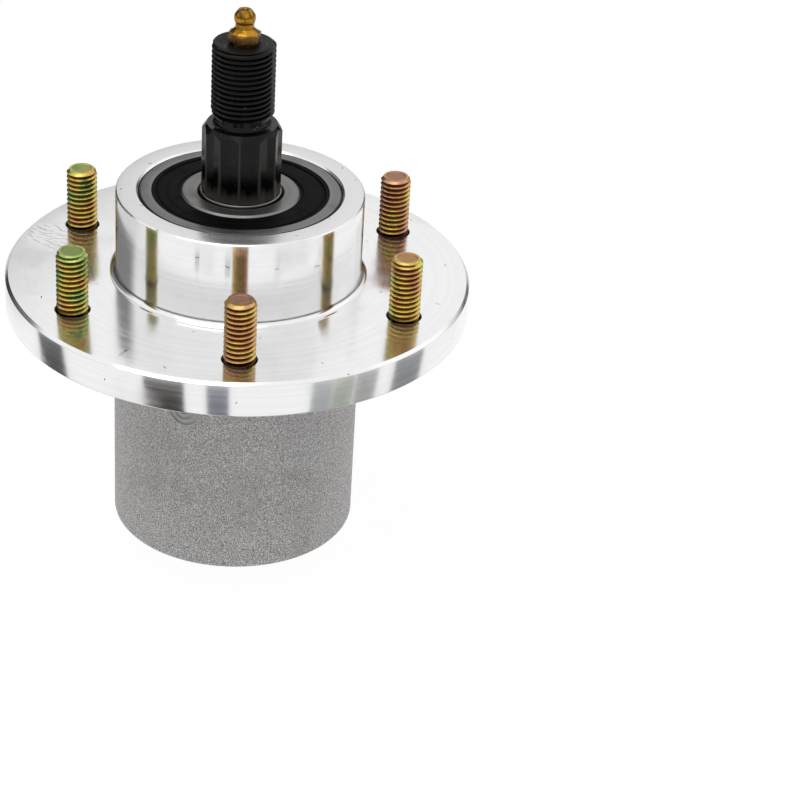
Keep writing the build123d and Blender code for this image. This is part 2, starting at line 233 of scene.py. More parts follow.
class BearingSizes(bpy.types.PropertyGroup):
    """Sizes of the two sealed ball bearings"""

    bore_radius: length("Bore radius", "Radius of the bore", 12.5 * MM)
    outer_radius: length("Outer radius", "Radius over the outer ring", reach_of("upper_outer_ring"))
    width: length("Width", "Width of a bearing", top_of("upper_outer_ring") - bottom_of("upper_outer_ring"))
    corner: length("Corner", "Round on the rings' mounting edges", 1.1 * MM)
    ball_radius: length("Ball radius", "Radius of a ball", 11.509 / 2 * MM)
    ball_gap: length("Ball gap", "Running gap between a ball and each race", 0.03 * MM)
    race_radius: length("Race radius", "Radius of the races' hollow", 0.52 * 11.509 * MM)
    land_offset: length("Land offset", "From the ball circle to the rings' lands", 3.65 * MM)
    inner_chamfer: length("Inner ring chamfer", "Chamfer on the inner ring's outer edges", 0.55 * MM)
    seal_wall: length("Seal wall", "Outer ring's face outside the seal", 4.07 * MM)
    seal_seat: length("Seal seat depth", "Depth of the seal's seat", 1.5 * MM)
    seal_groove: length("Seal groove", "Depth of the groove that holds the seal", 0.4 * MM)
    seal_lip: length("Seal groove lip", "Height of the lip over that groove", 0.7 * MM)
    seal_recess: length("Seal recess", "Seal's face below the ring's face", 0.3 * MM)
    seal_rim: length("Seal rim", "Width of the seal's outer rim", 1.0 * MM)
    seal_channel: length("Seal channel", "Width of the channel inside the rim", 0.9 * MM)
    seal_channel_depth: length("Channel depth", "Depth of that channel", 0.45 * MM)
    seal_edge: length("Seal edge", "Width of the thin edge at the inner ring", 1.0 * MM)
    seal_edge_drop: length("Seal edge drop", "Step down to that edge", 0.35 * MM)


class FittingSizes(bpy.types.PropertyGroup):
    """Sizes of the grease fitting"""

    bottom: length("Bottom", "Height of the shank's lower end", bottom_of("grease_fitting_body"))
    top: length("Top", "Height of the fitting's tip", top_of("grease_fitting_body"))
    shank_radius: length("Shank radius", "Radius of the shank", 4.0 * MM)
    standoff: length("Standoff", "Gap between the shaft's end and the hexagon", 0.8 * MM)
    hex_flats: length("Hexagon", "Across the hexagon's flats", 9.0 * MM)
    hex_height: length("Hexagon height", "Height of the hexagon", 2.35 * MM)
    hex_break: length("Hexagon edge", "Broken edge under the hexagon", 0.12 * MM)
    hex_drop: length("Hexagon chamfer", "Height of the chamfer on the hexagon's corners", 0.45 * MM)
    hex_angle: angle("Hexagon angle", "How far the hexagon is turned", -11.0)
    cone_height: length("Cone height", "Height of the cone above the hexagon", 1.45 * MM)
    cone_radius: length("Cone radius", "Radius of that cone's foot", 4.2 * MM)
    neck_radius: length("Neck radius", "Radius of the neck", 2.75 * MM)
    neck_length: length("Neck length", "Length of the neck", 1.3 * MM)
    head_radius: length("Head radius", "Radius of the ball head", 3.2 * MM)
    tip_radius: length("Tip radius", "Radius of the flat tip", 2.0 * MM)
    mouth_radius: length("Mouth radius", "Radius of the grease mouth", 0.952 * MM)
    ball_radius: length("Check ball radius", "Radius of the check ball", reach_of("grease_check_ball"))
    chamber_radius: length("Chamber radius", "Radius of the valve chamber", 1.25 * MM)
    ledge_radius: length("Ledge radius", "Radius of the outlet below the spring", 0.8 * MM)
    ledge_height: length("Ledge height", "Height of the spring's ledge", 0.6 * MM)
    spring_wire: length("Spring wire", "Radius of the check spring's wire", 0.16 * MM)
    spring_pitch: length("Spring pitch", "Rise of the check spring in one turn", 1.3 * MM)


class FinishColours(bpy.types.PropertyGroup):
    """Colours of the finishes"""

    machined: tint("Machined aluminium", "Flange, boss and bores", (0.90, 0.90, 0.905))
    cast_dark: tint("Cast aluminium, hollows", "Hollows of the barrel's grain", (0.255, 0.250, 0.248))
    cast_light: tint("Cast aluminium, peaks", "Peaks of the barrel's grain", (0.90, 0.885, 0.885))
    stud_copper: tint("Stud plate, copper", "Copper film of the studs' plating", (0.54, 0.28, 0.20))
    stud_gold: tint("Stud plate, gold", "Gold film of the studs' plating", (0.63, 0.37, 0.15))
    stud_yellow: tint("Stud plate, yellow", "Yellow film of the studs' plating", (0.74, 0.56, 0.13))
    stud_green: tint("Stud plate, green", "Green film of the studs' plating", (0.42, 0.56, 0.18))
    oxide: tint("Black oxide", "The shaft's blackened steel", (0.0040, 0.0034, 0.0030))
    ring_steel: tint("Ring steel", "Bearing rings and journals", (0.235, 0.23, 0.225))
    seal: tint("Seal rubber", "The bearings' seals", (0.0018, 0.0018, 0.0018))
    fitting_gold: tint("Fitting plate", "The grease fitting's gold plate", (0.50, 0.25, 0.025))
    fitting_brown: tint("Fitting dirt", "Brown dirt on its hexagon", (0.20, 0.11, 0.045))
    cage: tint("Cage", "The bearings' cages", (0.36, 0.30, 0.22))


class StageSettings(bpy.types.PropertyGroup):
    """Camera, lamps and floor"""

    lens: bpy.props.FloatProperty(name="Lens", description="Focal length", default=109.84, unit="CAMERA")
    camera_place: bpy.props.FloatVectorProperty(
        name="Camera place", description="Where the camera stands", size=3, unit="LENGTH",
        default=(-9.83 * MM, -671.95 * MM, 345.99 * MM))
    pan: angle("Pan", "Turn from +Y towards +X", 5.295)
    tilt: angle("Tilt", "Look below the horizon", 30.144)
    roll: angle("Roll", "Turn about the line of sight", 3.658)
    key_power: power("Key power", "Large soft lamp over the object", 2.5)
    fill_power: power("Fill power", "Soft lamp at the side", 0.4)
    world_strength: share("World strength", "Light from all around on matt surfaces", 0.47)
    left_shade: share("Left shade", "How bright the studio's dark side is in reflections", 0.20)
    horizon_shade: share("Horizon shade", "How bright the studio's horizon is in reflections", 0.06)
    floor_shade: share("Floor shade", "How bright the floor's dark side is in reflections", 0.35)
    floor_mirror: share("Floor in reflections", "How much of the floor's white reflections show", 0.97)
    floor_size: length("Floor size", "Width of the floor", 8.0)


# The direction of the studio's dark side, at the back left, and where the floor turns dark towards it.
DARK_SIDE = (-0.60, 0.80, 0.0)
FLOOR_SHADE_START = 0.165
FLOOR_SHADE_END = 0.235
# Cards on the floor: the middle in mm, the direction of the long side in degrees, the width there in mm
# and the colour.
CARDS = [
    ((-206, -8), -104, 62, (0.11, 0.11, 0.11)),
    ((-110, -188), -36, 66, (0.058, 0.045, 0.040)),
    ((-31, -219), -10, 35, (0.29, 0.30, 0.36)),
    ((126, -180), 42, 35, (0.63, 0.66, 0.66)),
    ((153, -155), 54, 36, (0.59, 0.64, 0.55)),
    ((177, -122), 66, 40, (0.60, 0.61, 0.59)),
    ((203, -42), 93.5, 64, (0.40, 0.41, 0.42)),
]
CARD_LENGTH = 0.226
CARD_POINT = 0.18
# A housing with fewer faces than this was lost in a Boolean.
LEAST_HOUSING_FACES = 1000
# The housing's material slots, in the order that its operator gives them.
MACHINED, CAST, NICKED_OR_SHADED = range(3)

GROUPS = {
    "spindle_housing": HousingSizes,
    "spindle_studs": StudSizes,
    "spindle_shaft": ShaftSizes,
    "spindle_bearing": BearingSizes,
    "spindle_fitting": FittingSizes,
    "spindle_colours": FinishColours,
    "spindle_stage": StageSettings,
}


# Outlines and turned meshes


def arc(centre, radius, start, end, steps):
    """Points of an arc in the half section, its angles in degrees from outward."""
    points = []
    for step in range(steps + 1):
        angle = math.radians(start + (end - start) * step / steps)
        points.append((centre[0] + radius * math.cos(angle), centre[1] + radius * math.sin(angle)))
    return points


def rounded(corners, steps=3):
    """A half section's points. A corner is a radius, a height and, if it is rounded, the round's radius."""
    points = []
    for place, corner in enumerate(corners):
        here = Vector(corner[:2])
        if len(corner) < 3:
            points.append(tuple(here))
            continue
        back = (Vector(corners[place - 1][:2]) - here).normalized()
        ahead = (Vector(corners[(place + 1) % len(corners)][:2]) - here).normalized()
        half = back.angle(ahead) / 2
        middle = here + (back + ahead).normalized() * corner[2] / math.sin(half)
        start = here + back * corner[2] / math.tan(half) - middle
        end = here + ahead * corner[2] / math.tan(half) - middle
        for step in range(steps + 1):
            along = start.lerp(end, step / steps).normalized() * corner[2]
            points.append(tuple(middle + along))
    return points


def called(piece, name):
    """The piece, with this name for its object and its mesh."""
    piece.name = name
    piece.data.name = name
    return piece


def begin_piece(name):
    """A new object in edit mode that holds one point at the origin."""
    bpy.ops.object.select_all(action="DESELECT")
    bpy.ops.mesh.primitive_plane_add(size=MM)
    piece = called(bpy.context.active_object, name)
    bpy.ops.object.mode_set(mode="EDIT")
    bpy.ops.mesh.select_all(action="SELECT")
    bpy.ops.mesh.merge(type="CENTER")
    return piece


def draw_section(points, closed):
    """Extrudes the lone point along a half section in the XZ plane."""
    places = [Vector((radius, 0, height)) for radius, height in points]
    if closed:
        places.append(places[0])
    bpy.ops.transform.translate(value=places[0])
    for here, after in zip(places, places[1:]):
        bpy.ops.mesh.extrude_vertices_move(TRANSFORM_OT_translate={"value": after - here})


def seal_mesh(merge=0.002 * MM):
    """Merges doubled points, turns the faces outward and leaves edit mode."""
    bpy.ops.mesh.select_all(action="SELECT")
    bpy.ops.mesh.remove_doubles(threshold=merge)
    bpy.ops.mesh.normals_make_consistent(inside=False)
    bpy.ops.object.mode_set(mode="OBJECT")


def turned_piece(name, points, steps=192):
    """A piece turned about Z from its half section, which starts and ends on the axis or closes on itself."""
    piece = begin_piece(name)
    draw_section(points, closed=points[0][0] > AXIS_REACH)
    bpy.ops.mesh.select_all(action="SELECT")
    bpy.ops.mesh.spin(steps=steps, angle=math.tau, center=(0, 0, 0), axis=(0, 0, 1))
    seal_mesh()
    return piece


def plain_cylinder(name, radius, low, high, steps):
    """A tool that is one plain cylinder round Z."""
    return turned_piece(name, [(0, low), (radius, low), (radius, high), (0, high)], steps)


def select_only(*pieces):
    """Selects these objects alone, the first one active."""
    bpy.ops.object.select_all(action="DESELECT")
    for piece in pieces:
        piece.select_set(True)
    bpy.context.view_layer.objects.active = pieces[0]


def apply_place(piece):
    """Moves a piece's place and turn into its mesh."""
    select_only(piece)
    bpy.ops.object.transform_apply(location=True, rotation=True, scale=True)


def copy_at(piece, name, matrix):
    """A copy with a mesh of its own, put in place by a matrix."""
    select_only(piece)
    bpy.ops.object.duplicate(linked=False)
    twin = called(bpy.context.active_object, name)
    twin.matrix_world = matrix
    apply_place(twin)
    return twin


def join(first, *others):
    """Joins the other pieces into the first."""
    select_only(first, *others)
    bpy.ops.object.join()
    return first


def modify(piece, kind, **settings):
    """Applies a modifier with these settings to the piece."""
    select_only(piece)
    bpy.ops.object.modifier_add(type=kind)
    modifier = piece.modifiers[-1]
    for name, value in settings.items():
        setattr(modifier, name, value)
    bpy.ops.object.modifier_apply(modifier=modifier.name)


def wind(piece, angle, rise, **settings):
    """Winds a section about Z."""
    modify(piece, "SCREW", angle=angle, screw_offset=rise, render_steps=settings["steps"], **settings)


def combine(piece, tool, operation, crossing=False):
    """Cuts, adds or intersects a piece with a tool, which is used up. Crossing is for overlapping shells."""
    modify(piece, "BOOLEAN", operation=operation, solver="EXACT", material_mode="TRANSFER",
           use_self=crossing, object=tool)
    bpy.data.objects.remove(tool)


def front_turn(angle):
    """A turn about Z that brings +X to this angle from the front."""
    return Matrix.Rotation(angle - math.pi / 2, 4, "Z")


def around(piece, studs, twist=0.0):
    """Copies of a piece at every stud's place, each twisted further than the last. The piece is used up."""
    copies = []
    for turn in range(studs.count):
        place = front_turn(math.tau * turn / studs.count) @ Matrix.Translation((studs.circle_radius, 0, 0))
        place = place @ Matrix.Rotation(twist * turn, 4, "Z")
        copies.append(copy_at(piece, f"{piece.name}_{turn}", place))
    bpy.data.objects.remove(piece)
    return copies


def smooth(piece, degrees=34):
    """Shades a piece smooth, with its sharper edges kept."""
    select_only(piece)
    bpy.ops.object.shade_smooth_by_angle(angle=math.radians(degrees))


def dress(piece, body, nodes, slot_name, *materials):
    """Gives a finished piece its materials, hangs it under its CAD body and hides the CAD nodes that it
    stands for.
    """
    piece.data.materials.clear()
    for material in materials:
        piece.data.materials.append(material)
    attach(piece, body)
    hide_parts(*nodes)


def thread_depth(pitch):
    """Depth of a sixty degree thread of this pitch."""
    return 0.6134 * pitch


def mark_height(piece, name, low, high, above=-1.0, below=1.0):
    """Stores on each vertex how far its radius lies from low, 0, to high, 1, and 1 outside the heights."""
    values = piece.data.attributes.new(name, "FLOAT", "POINT")
    for vertex, value in zip(piece.data.vertices, values.data):
        radius = math.hypot(vertex.co.x, vertex.co.y)
        share_up = (radius - low) / (high - low)
        value.value = min(max(share_up, 0.0), 1.0) if above < vertex.co.z < below else 1.0


def mark_value(piece, name, amount):
    """Stores one value on every vertex."""
    values = piece.data.attributes.new(name, "FLOAT", "POINT")
    for value in values.data:
        value.value = amount


def threaded_rod(name, radius, pitch, low, high, low_chamfer, high_chamfer, steps=72):
    """A rod with a right-hand thread, its ends cut flat and chamfered."""
    root = radius - thread_depth(pitch)
    crest = pitch / 8
    flank = (pitch - crest - pitch / 4) / 2
    start = low - 2 * pitch
    piece = begin_piece(name)
    profile = [
        (root, start),
        (root, start + pitch / 4),
        (radius - 0.06 * pitch, start + pitch / 4 + flank * 0.94),
        (radius, start + pitch / 4 + flank + crest * 0.2),
        (radius, start + pitch / 4 + flank + crest * 0.8),
        (radius - 0.06 * pitch, start + pitch - flank * 0.94),
        (root, start + pitch),
    ]
    draw_section(profile, closed=False)
    bpy.ops.object.mode_set(mode="OBJECT")
    wind(piece, math.tau, pitch, steps=steps, iterations=math.ceil((high - low) / pitch) + 4,
         use_merge_vertices=True, merge_threshold=THREAD_MERGE)
    bpy.ops.object.mode_set(mode="EDIT")
    bpy.ops.mesh.select_all(action="SELECT")
    bpy.ops.mesh.remove_doubles(threshold=THREAD_MERGE)
    close_ends(piece)
    seal_mesh(THREAD_MERGE)
    envelope = turned_piece(name + "_envelope", [
        (0, low),
        (radius - low_chamfer, low),
        (radius + low_chamfer * 0.2, low + low_chamfer * 1.2),
        (radius + low_chamfer * 0.2, high - high_chamfer * 1.2),
        (radius - high_chamfer, high),
        (0, high),
    ], steps=steps)
    combine(piece, envelope, "INTERSECT")
    return piece


def close_ends(piece):
    """Draws each open end of a mesh in edit mode to a point on the axis."""
    for wanted in ("low", "high"):
        bpy.ops.mesh.select_all(action="DESELECT")
        bpy.ops.mesh.select_mode(type="EDGE")
        bpy.ops.mesh.select_non_manifold(
            extend=False, use_wire=False, use_boundary=True,
            use_multi_face=False, use_non_contiguous=False, use_verts=False)
        bpy.ops.object.mode_set(mode="OBJECT")
        heights = [vertex.co.z for vertex in piece.data.vertices]
        middle = (min(heights) + max(heights)) / 2
        for edge in piece.data.edges:
            height = piece.data.vertices[edge.vertices[0]].co.z
            keep = height < middle if wanted == "low" else height > middle
            edge.select = edge.select and keep
        for vertex in piece.data.vertices:
            vertex.select = False
        for edge in piece.data.edges:
            if edge.select:
                for index in edge.vertices:
                    piece.data.vertices[index].select = True
        bpy.ops.object.mode_set(mode="EDIT")
        bpy.ops.mesh.extrude_edges_move(TRANSFORM_OT_translate={"value": (0, 0, 0)})
        bpy.ops.mesh.merge(type="CENTER")
    bpy.ops.mesh.select_mode(type="VERT")


def star_prism(name, points, tip, valley, angle, low, high, edge_round):
    """An upright prism with a star section, its edges slightly rounded."""
    bpy.ops.object.select_all(action="DESELECT")
    bpy.ops.mesh.primitive_circle_add(vertices=2 * points, radius=tip, fill_type="NGON",
                                      location=(0, 0, low), rotation=(0, 0, angle))
    piece = called(bpy.context.active_object, name)
    bpy.ops.object.transform_apply(location=True, rotation=True, scale=True)
    bpy.ops.object.mode_set(mode="EDIT")
    bpy.ops.mesh.select_all(action="DESELECT")
    bpy.ops.mesh.select_mode(type="VERT")
    bpy.ops.object.mode_set(mode="OBJECT")
    for index, vertex in enumerate(piece.data.vertices):
        vertex.select = index % 2 == 1
    bpy.ops.object.mode_set(mode="EDIT")
    scale = valley / tip
    bpy.ops.transform.resize(value=(scale, scale, 1), center_override=(0, 0, low))
    bpy.ops.mesh.select_all(action="SELECT")
    if edge_round:
        bpy.ops.mesh.bevel(offset=edge_round, segments=3, affect="VERTICES")
        bpy.ops.mesh.select_all(action="SELECT")
    bpy.ops.mesh.extrude_region_move(TRANSFORM_OT_translate={"value": (0, 0, high - low)})
    seal_mesh()
    return piece


# Shader building


def rgba(colour):
    """A colour with its alpha, or the socket that brings it."""
    return colour if isinstance(colour, bpy.types.NodeSocket) else (*colour, 1.0)


def darker(colour, amount):
    """A colour times an amount, which may also be above one."""
    return tuple(amount * channel for channel in colour)


class Look:
    """A node tree in the making, and the coordinates that its patterns follow."""

    def __init__(self, tree, place=None):
        self.tree = tree
        self.place = place

    def feed(self, made, **sockets):
        """Sets or links a node's sockets. An underscore stands for a space, and i0 is the first socket."""
        for name, value in sockets.items():
            numbered = name[0] == "i" and name[1:].isdigit()
            socket = made.inputs[int(name[1:]) if numbered else name.replace("_", " ")]
            if isinstance(value, bpy.types.NodeSocket):
                self.tree.links.new(value, socket)
            else:
                socket.default_value = value

    def node(self, kind, settings=None, **sockets):
        """A node with its settings and its sockets' values or links."""
        made = self.tree.nodes.new(kind)
        for name, value in (settings or {}).items():
            setattr(made, name, value)
        self.feed(made, **sockets)
        return made

    def own_coordinates(self):
        """The piece's own coordinates, in metres."""
        return self.tree.nodes.new("ShaderNodeTexCoord").outputs["Object"]

    def attribute(self, name):
        """A value that the piece's own vertices hold."""
        return self.node("ShaderNodeAttribute", {"attribute_name": name}).outputs["Fac"]

    def parts(self):
        """The X, Y and Z of the coordinates."""
        return self.node("ShaderNodeSeparateXYZ", i0=self.place).outputs

    def math(self, operation, first, second=0.0):
        """The output of a Math node."""
        return self.node("ShaderNodeMath", {"operation": operation}, i0=first, i1=second).outputs[0]

    def times(self, value, *others):
        """The product of all values."""
        for other in others:
            value = self.math("MULTIPLY", value, other)
        return value

    def total(self, value, *terms):
        """A value plus each term's mask times its weight."""
        for mask, weight in terms:
            value = self.math("ADD", value, self.times(mask, weight))
        return value

    def ramp(self, value, low, high, result_low=0.0, result_high=1.0):
        """A value mapped smoothly from the range low to high onto the range of the results."""
        return self.node("ShaderNodeMapRange", {"interpolation_type": "SMOOTHSTEP"},
                         i0=value, i1=low, i2=high, i3=result_low, i4=result_high).outputs[0]

    def noise(self, scale, detail=3.0, roughness=0.55, place=None):
        """The value of a 3D noise."""
        return self.node("ShaderNodeTexNoise", Vector=self.place if place is None else place, Scale=scale,
                         Detail=detail, Roughness=roughness).outputs["Fac"]

    def mix(self, factor, first, second, blend="MIX"):
        """The colour between two colours."""
        return self.node("ShaderNodeMix", {"data_type": "RGBA", "blend_type": blend},
                         i0=factor, i6=rgba(first), i7=rgba(second)).outputs[2]

    def layer(self, under, mask, strength, over):
        """A colour with another laid over it where a mask says."""
        return self.mix(self.times(mask, strength), under, over)

    def bump(self, height, distance, **normal):
        """The normal that a height gives, in metres, on top of a Normal if one is given."""
        return self.node("ShaderNodeBump", Strength=1.0, Distance=distance, Height=height,
                         **normal).outputs["Normal"]

    def effect(self, name, **sockets):
        """The outputs of one of the shader groups, placed in this tree."""
        return self.node("ShaderNodeGroup", {"node_tree": bpy.data.node_groups[name]},
                         Coordinates=self.place, **sockets).outputs

    def marks(self, pitch, wander):
        """Turning marks: their Height and Streaks."""
        return self.effect("turning_marks", Pitch=pitch, Wander=wander)

    def dings(self, scale, amount, size):
        """A mask of small dents."""
        return self.effect("dings", Scale=scale, Amount=amount, Size=size)["Mask"]

    def scratches(self, scale, amount):
        """A mask of scratches."""
        return self.effect("scratches", Scale=scale, Amount=amount)["Mask"]

    def grain(self, size):
        """Grain of a skin: its Height and Tone."""
        return self.effect("grain", Size=size)

    def smudges(self, scale, cover):
        """A mask of broad soft patches."""
        return self.effect("smudges", Scale=scale, Cover=cover)["Mask"]


class Effect(Look):
    """A shader group that several materials share, in the making."""

    def __init__(self, name, outputs, **inputs):
        tree = bpy.data.node_groups.new(name, "ShaderNodeTree")
        tree.interface.new_socket("Coordinates", in_out="INPUT", socket_type="NodeSocketVector")
        for label, value in inputs.items():
            socket = tree.interface.new_socket(label, in_out="INPUT", socket_type="NodeSocketFloat")
            socket.default_value = value
        for label in outputs:
            tree.interface.new_socket(label, in_out="OUTPUT", socket_type="NodeSocketFloat")
        self.given = tree.nodes.new("NodeGroupInput").outputs
        self.end = tree.nodes.new("NodeGroupOutput")
        super().__init__(tree, self.given["Coordinates"])


class Finish(Look):
    """A material in the making, with its Principled shader."""

    def __init__(self, name):
        material = bpy.data.materials.new(FINISH + name)
        material.use_nodes = True
        super().__init__(material.node_tree)
        self.shader = self.tree.nodes["Principled BSDF"]
        self.place = self.own_coordinates()

    def round_axis(self, amount):
        """Stretches the gloss across marks that run round Z."""
        tangent = self.node("ShaderNodeTangent", {"direction_type": "RADIAL", "axis": "Z"})
        self.feed(self.shader, Anisotropic=amount, Anisotropic_Rotation=0.25, Tangent=tangent.outputs[0])


def build_turning_marks():
    """Turning lines: they run round Z and follow the radius on flat faces and the height on walls."""
    look = Effect("turning_marks", ("Height", "Streaks"), Pitch=0.0003, Wander=0.35)
    x, y, z = look.parts()
    square = look.math("ADD", look.math("POWER", x, 2.0), look.math("POWER", y, 2.0))
    across = look.total(look.math("SQRT", square), (z, 1.37))
    lines = look.math("DIVIDE", across, look.given["Pitch"])
    lines = look.total(lines, (look.noise(60.0, 1.0), look.given["Wander"]))
    fine, broad = (
        look.node("ShaderNodeTexNoise", {"noise_dimensions": "1D"}, W=lines, Scale=scale, Detail=2.0,
                  Roughness=roughness).outputs["Fac"]
        for scale, roughness in ((1.0, 0.7), (0.13, 0.6)))
    look.feed(look.end, Height=look.total(look.times(fine, 0.7), (broad, 0.3)),
              Streaks=look.ramp(broad, 0.35, 0.65))


def build_dings():
    """Scattered small dents and specks: a mask that is 1 inside them."""
    look = Effect("dings", ("Mask",), Scale=180.0, Amount=0.1, Size=0.16)
    warp = look.node("ShaderNodeTexNoise", Vector=look.place, Scale=900.0, Detail=2.0).outputs["Color"]
    moved = look.node("ShaderNodeVectorMath", {"operation": "MULTIPLY_ADD"}, i0=warp,
                      i1=(0.0006, 0.0006, 0.0006), i2=look.place).outputs[0]
    cells = look.node("ShaderNodeTexVoronoi", Vector=moved, Scale=look.given["Scale"]).outputs
    tone = look.node("ShaderNodeSeparateColor", i0=cells["Color"]).outputs[0]
    chosen = look.math("LESS_THAN", tone, look.given["Amount"])
    size = look.given["Size"]
    dent = look.ramp(cells["Distance"], size, look.times(size, 0.55))
    look.feed(look.end, Mask=look.times(chosen, dent))


def build_scratches():
    """Short straight scratches in a few directions: a mask that is 1 along them."""
    look = Effect("scratches", ("Mask",), Scale=900.0, Amount=0.5)
    mask = 0.0
    for turn, stretch in ((0.5, 14.0), (1.9, 9.0), (2.7, 18.0)):
        turned = look.node("ShaderNodeMapping", {"vector_type": "TEXTURE"}, Vector=look.place,
                           Rotation=(turn * 0.6, turn, turn * 1.7), Scale=(1.0, stretch, 1.0)).outputs[0]
        lines = look.noise(look.given["Scale"], 0.0, place=turned)
        mask = look.math("MAXIMUM", mask, look.ramp(lines, 0.74, 0.80))
    look.feed(look.end, Mask=look.times(mask, look.given["Amount"]))


def build_grain():
    """Grain of a cast or blasted skin: a height and a lighter or darker tone."""
    look = Effect("grain", ("Height", "Tone"), Size=0.0006)
    scale = look.math("DIVIDE", 1.0, look.given["Size"])
    coarse = look.noise(scale, 3.0, 0.65)
    pits = look.node("ShaderNodeTexVoronoi", Vector=look.place, Scale=look.times(scale, 0.8))
    look.feed(look.end, Height=look.total(coarse, (pits.outputs["Distance"], 0.45)),
              Tone=look.ramp(coarse, 0.3, 0.72))


def build_smudges():
    """Broad soft patches, such as oil film, handling marks and dirt: a mask from 0 to 1."""
    look = Effect("smudges", ("Mask",), Scale=30.0, Cover=0.5)
    base = look.noise(look.given["Scale"], 4.0, 0.6)
    low = look.total(0.75, (look.given["Cover"], -0.5))
    look.feed(look.end, Mask=look.ramp(base, low, look.math("ADD", low, 0.16)))


def make_turned_aluminium(scene):
    """Machined aluminium of the flange, boss and bores: bright, with lines round the axis."""
    look = Finish("turned_aluminium")
    bright = scene.spindle_colours.machined
    top = scene.spindle_housing.boss_height
    face = look.ramp(look.parts()[2], top - 0.3 * MM, top - 0.1 * MM)
    marks = look.marks(0.00028, 0.12)
    film = look.smudges(38.0, 0.45)
    dents = look.dings(170.0, 0.020, 0.075)
    cuts = look.times(look.scratches(1100.0, 0.6), look.smudges(70.0, 0.18))
    colour = look.mix(marks["Streaks"], darker(bright, 0.96), bright)
    for mask, strength, tone in ((film, 0.35, 0.88), (face, 0.7, 0.90), (cuts, 0.5, 0.55)):
        colour = look.layer(colour, mask, strength, darker(bright, tone))
    colour = look.mix(dents, colour, (0.10, 0.095, 0.09))
    worn = look.times(look.total(dents, (cuts, 0.4)), -1.0)
    look.round_axis(0.65)
    look.feed(look.shader, Base_Color=colour, Metallic=look.total(0.96, (face, -0.12)),
              Roughness=look.total(0.125, (marks["Streaks"], 0.03), (film, 0.08), (face, 0.12), (cuts, 0.2)),
              Normal=look.bump(worn, 0.00003, Normal=look.bump(marks["Height"], 0.0000018)))


def make_nick_dirt_and_hole_shade(scene):
    """The bottoms of nicks and scrapes, rough aluminium with dirt in it, and the walls and chamfers of the
    stud holes, where the dark colour is grime and painted shade.
    """
    look = Finish("nicked_aluminium")
    dirt = look.noise(1800.0, 2.0)
    colour = look.mix(look.ramp(dirt, 0.40, 0.62), (0.055, 0.048, 0.040), (0.34, 0.31, 0.27))
    look.feed(look.shader, Base_Color=colour, Metallic=0.5, Roughness=look.ramp(dirt, 0.3, 0.7, 0.4, 0.65),
              Normal=look.bump(dirt, 0.00004))


def make_cast_aluminium(scene):
    """The barrel's cast skin: grey, finely grained, a little stained, and paler on the foundry mark."""
    look = Finish("cast_aluminium")
    tints = scene.spindle_colours
    sizes = scene.spindle_housing
    grain = look.grain(0.00033)
    stain = look.smudges(26.0, 0.5)
    pits = look.dings(240.0, 0.06, 0.07)
    cuts = look.times(look.scratches(1000.0, 0.7), look.smudges(60.0, 0.30))
    centre = (sizes.barrel_radius * math.sin(sizes.mark_angle),
              -sizes.barrel_radius * math.cos(sizes.mark_angle), -sizes.flange_thickness - sizes.mark_drop)
    away = look.node("ShaderNodeVectorMath", {"operation": "DISTANCE"}, i0=look.place, i1=centre)
    mark = look.ramp(away.outputs["Value"], sizes.mark_radius + 0.5 * MM, sizes.mark_radius)
    colour = look.mix(look.ramp(grain["Tone"], 0.10, 0.88), tints.cast_dark, tints.cast_light)
    warm = look.ramp(look.noise(24.0, 2.0), 0.36, 0.64)
    cast = look.mix(warm, (0.975, 0.975, 0.98), (1.0, 0.965, 0.94))
    colour = look.mix(1.0, colour, cast, "MULTIPLY")
    colour = look.layer(colour, stain, 0.34, (0.25, 0.228, 0.21))
    colour = look.layer(colour, mark, 0.7, (0.56, 0.57, 0.55))
    colour = look.layer(colour, pits, 0.8, (0.05, 0.047, 0.045))
    colour = look.mix(cuts, colour, (0.85, 0.85, 0.84))
    look.feed(look.shader, Base_Color=colour, Metallic=0.30,
              Roughness=look.ramp(grain["Height"], 0.4, 1.1, 0.66, 0.54),
              Normal=look.bump(grain["Height"], 0.0001))


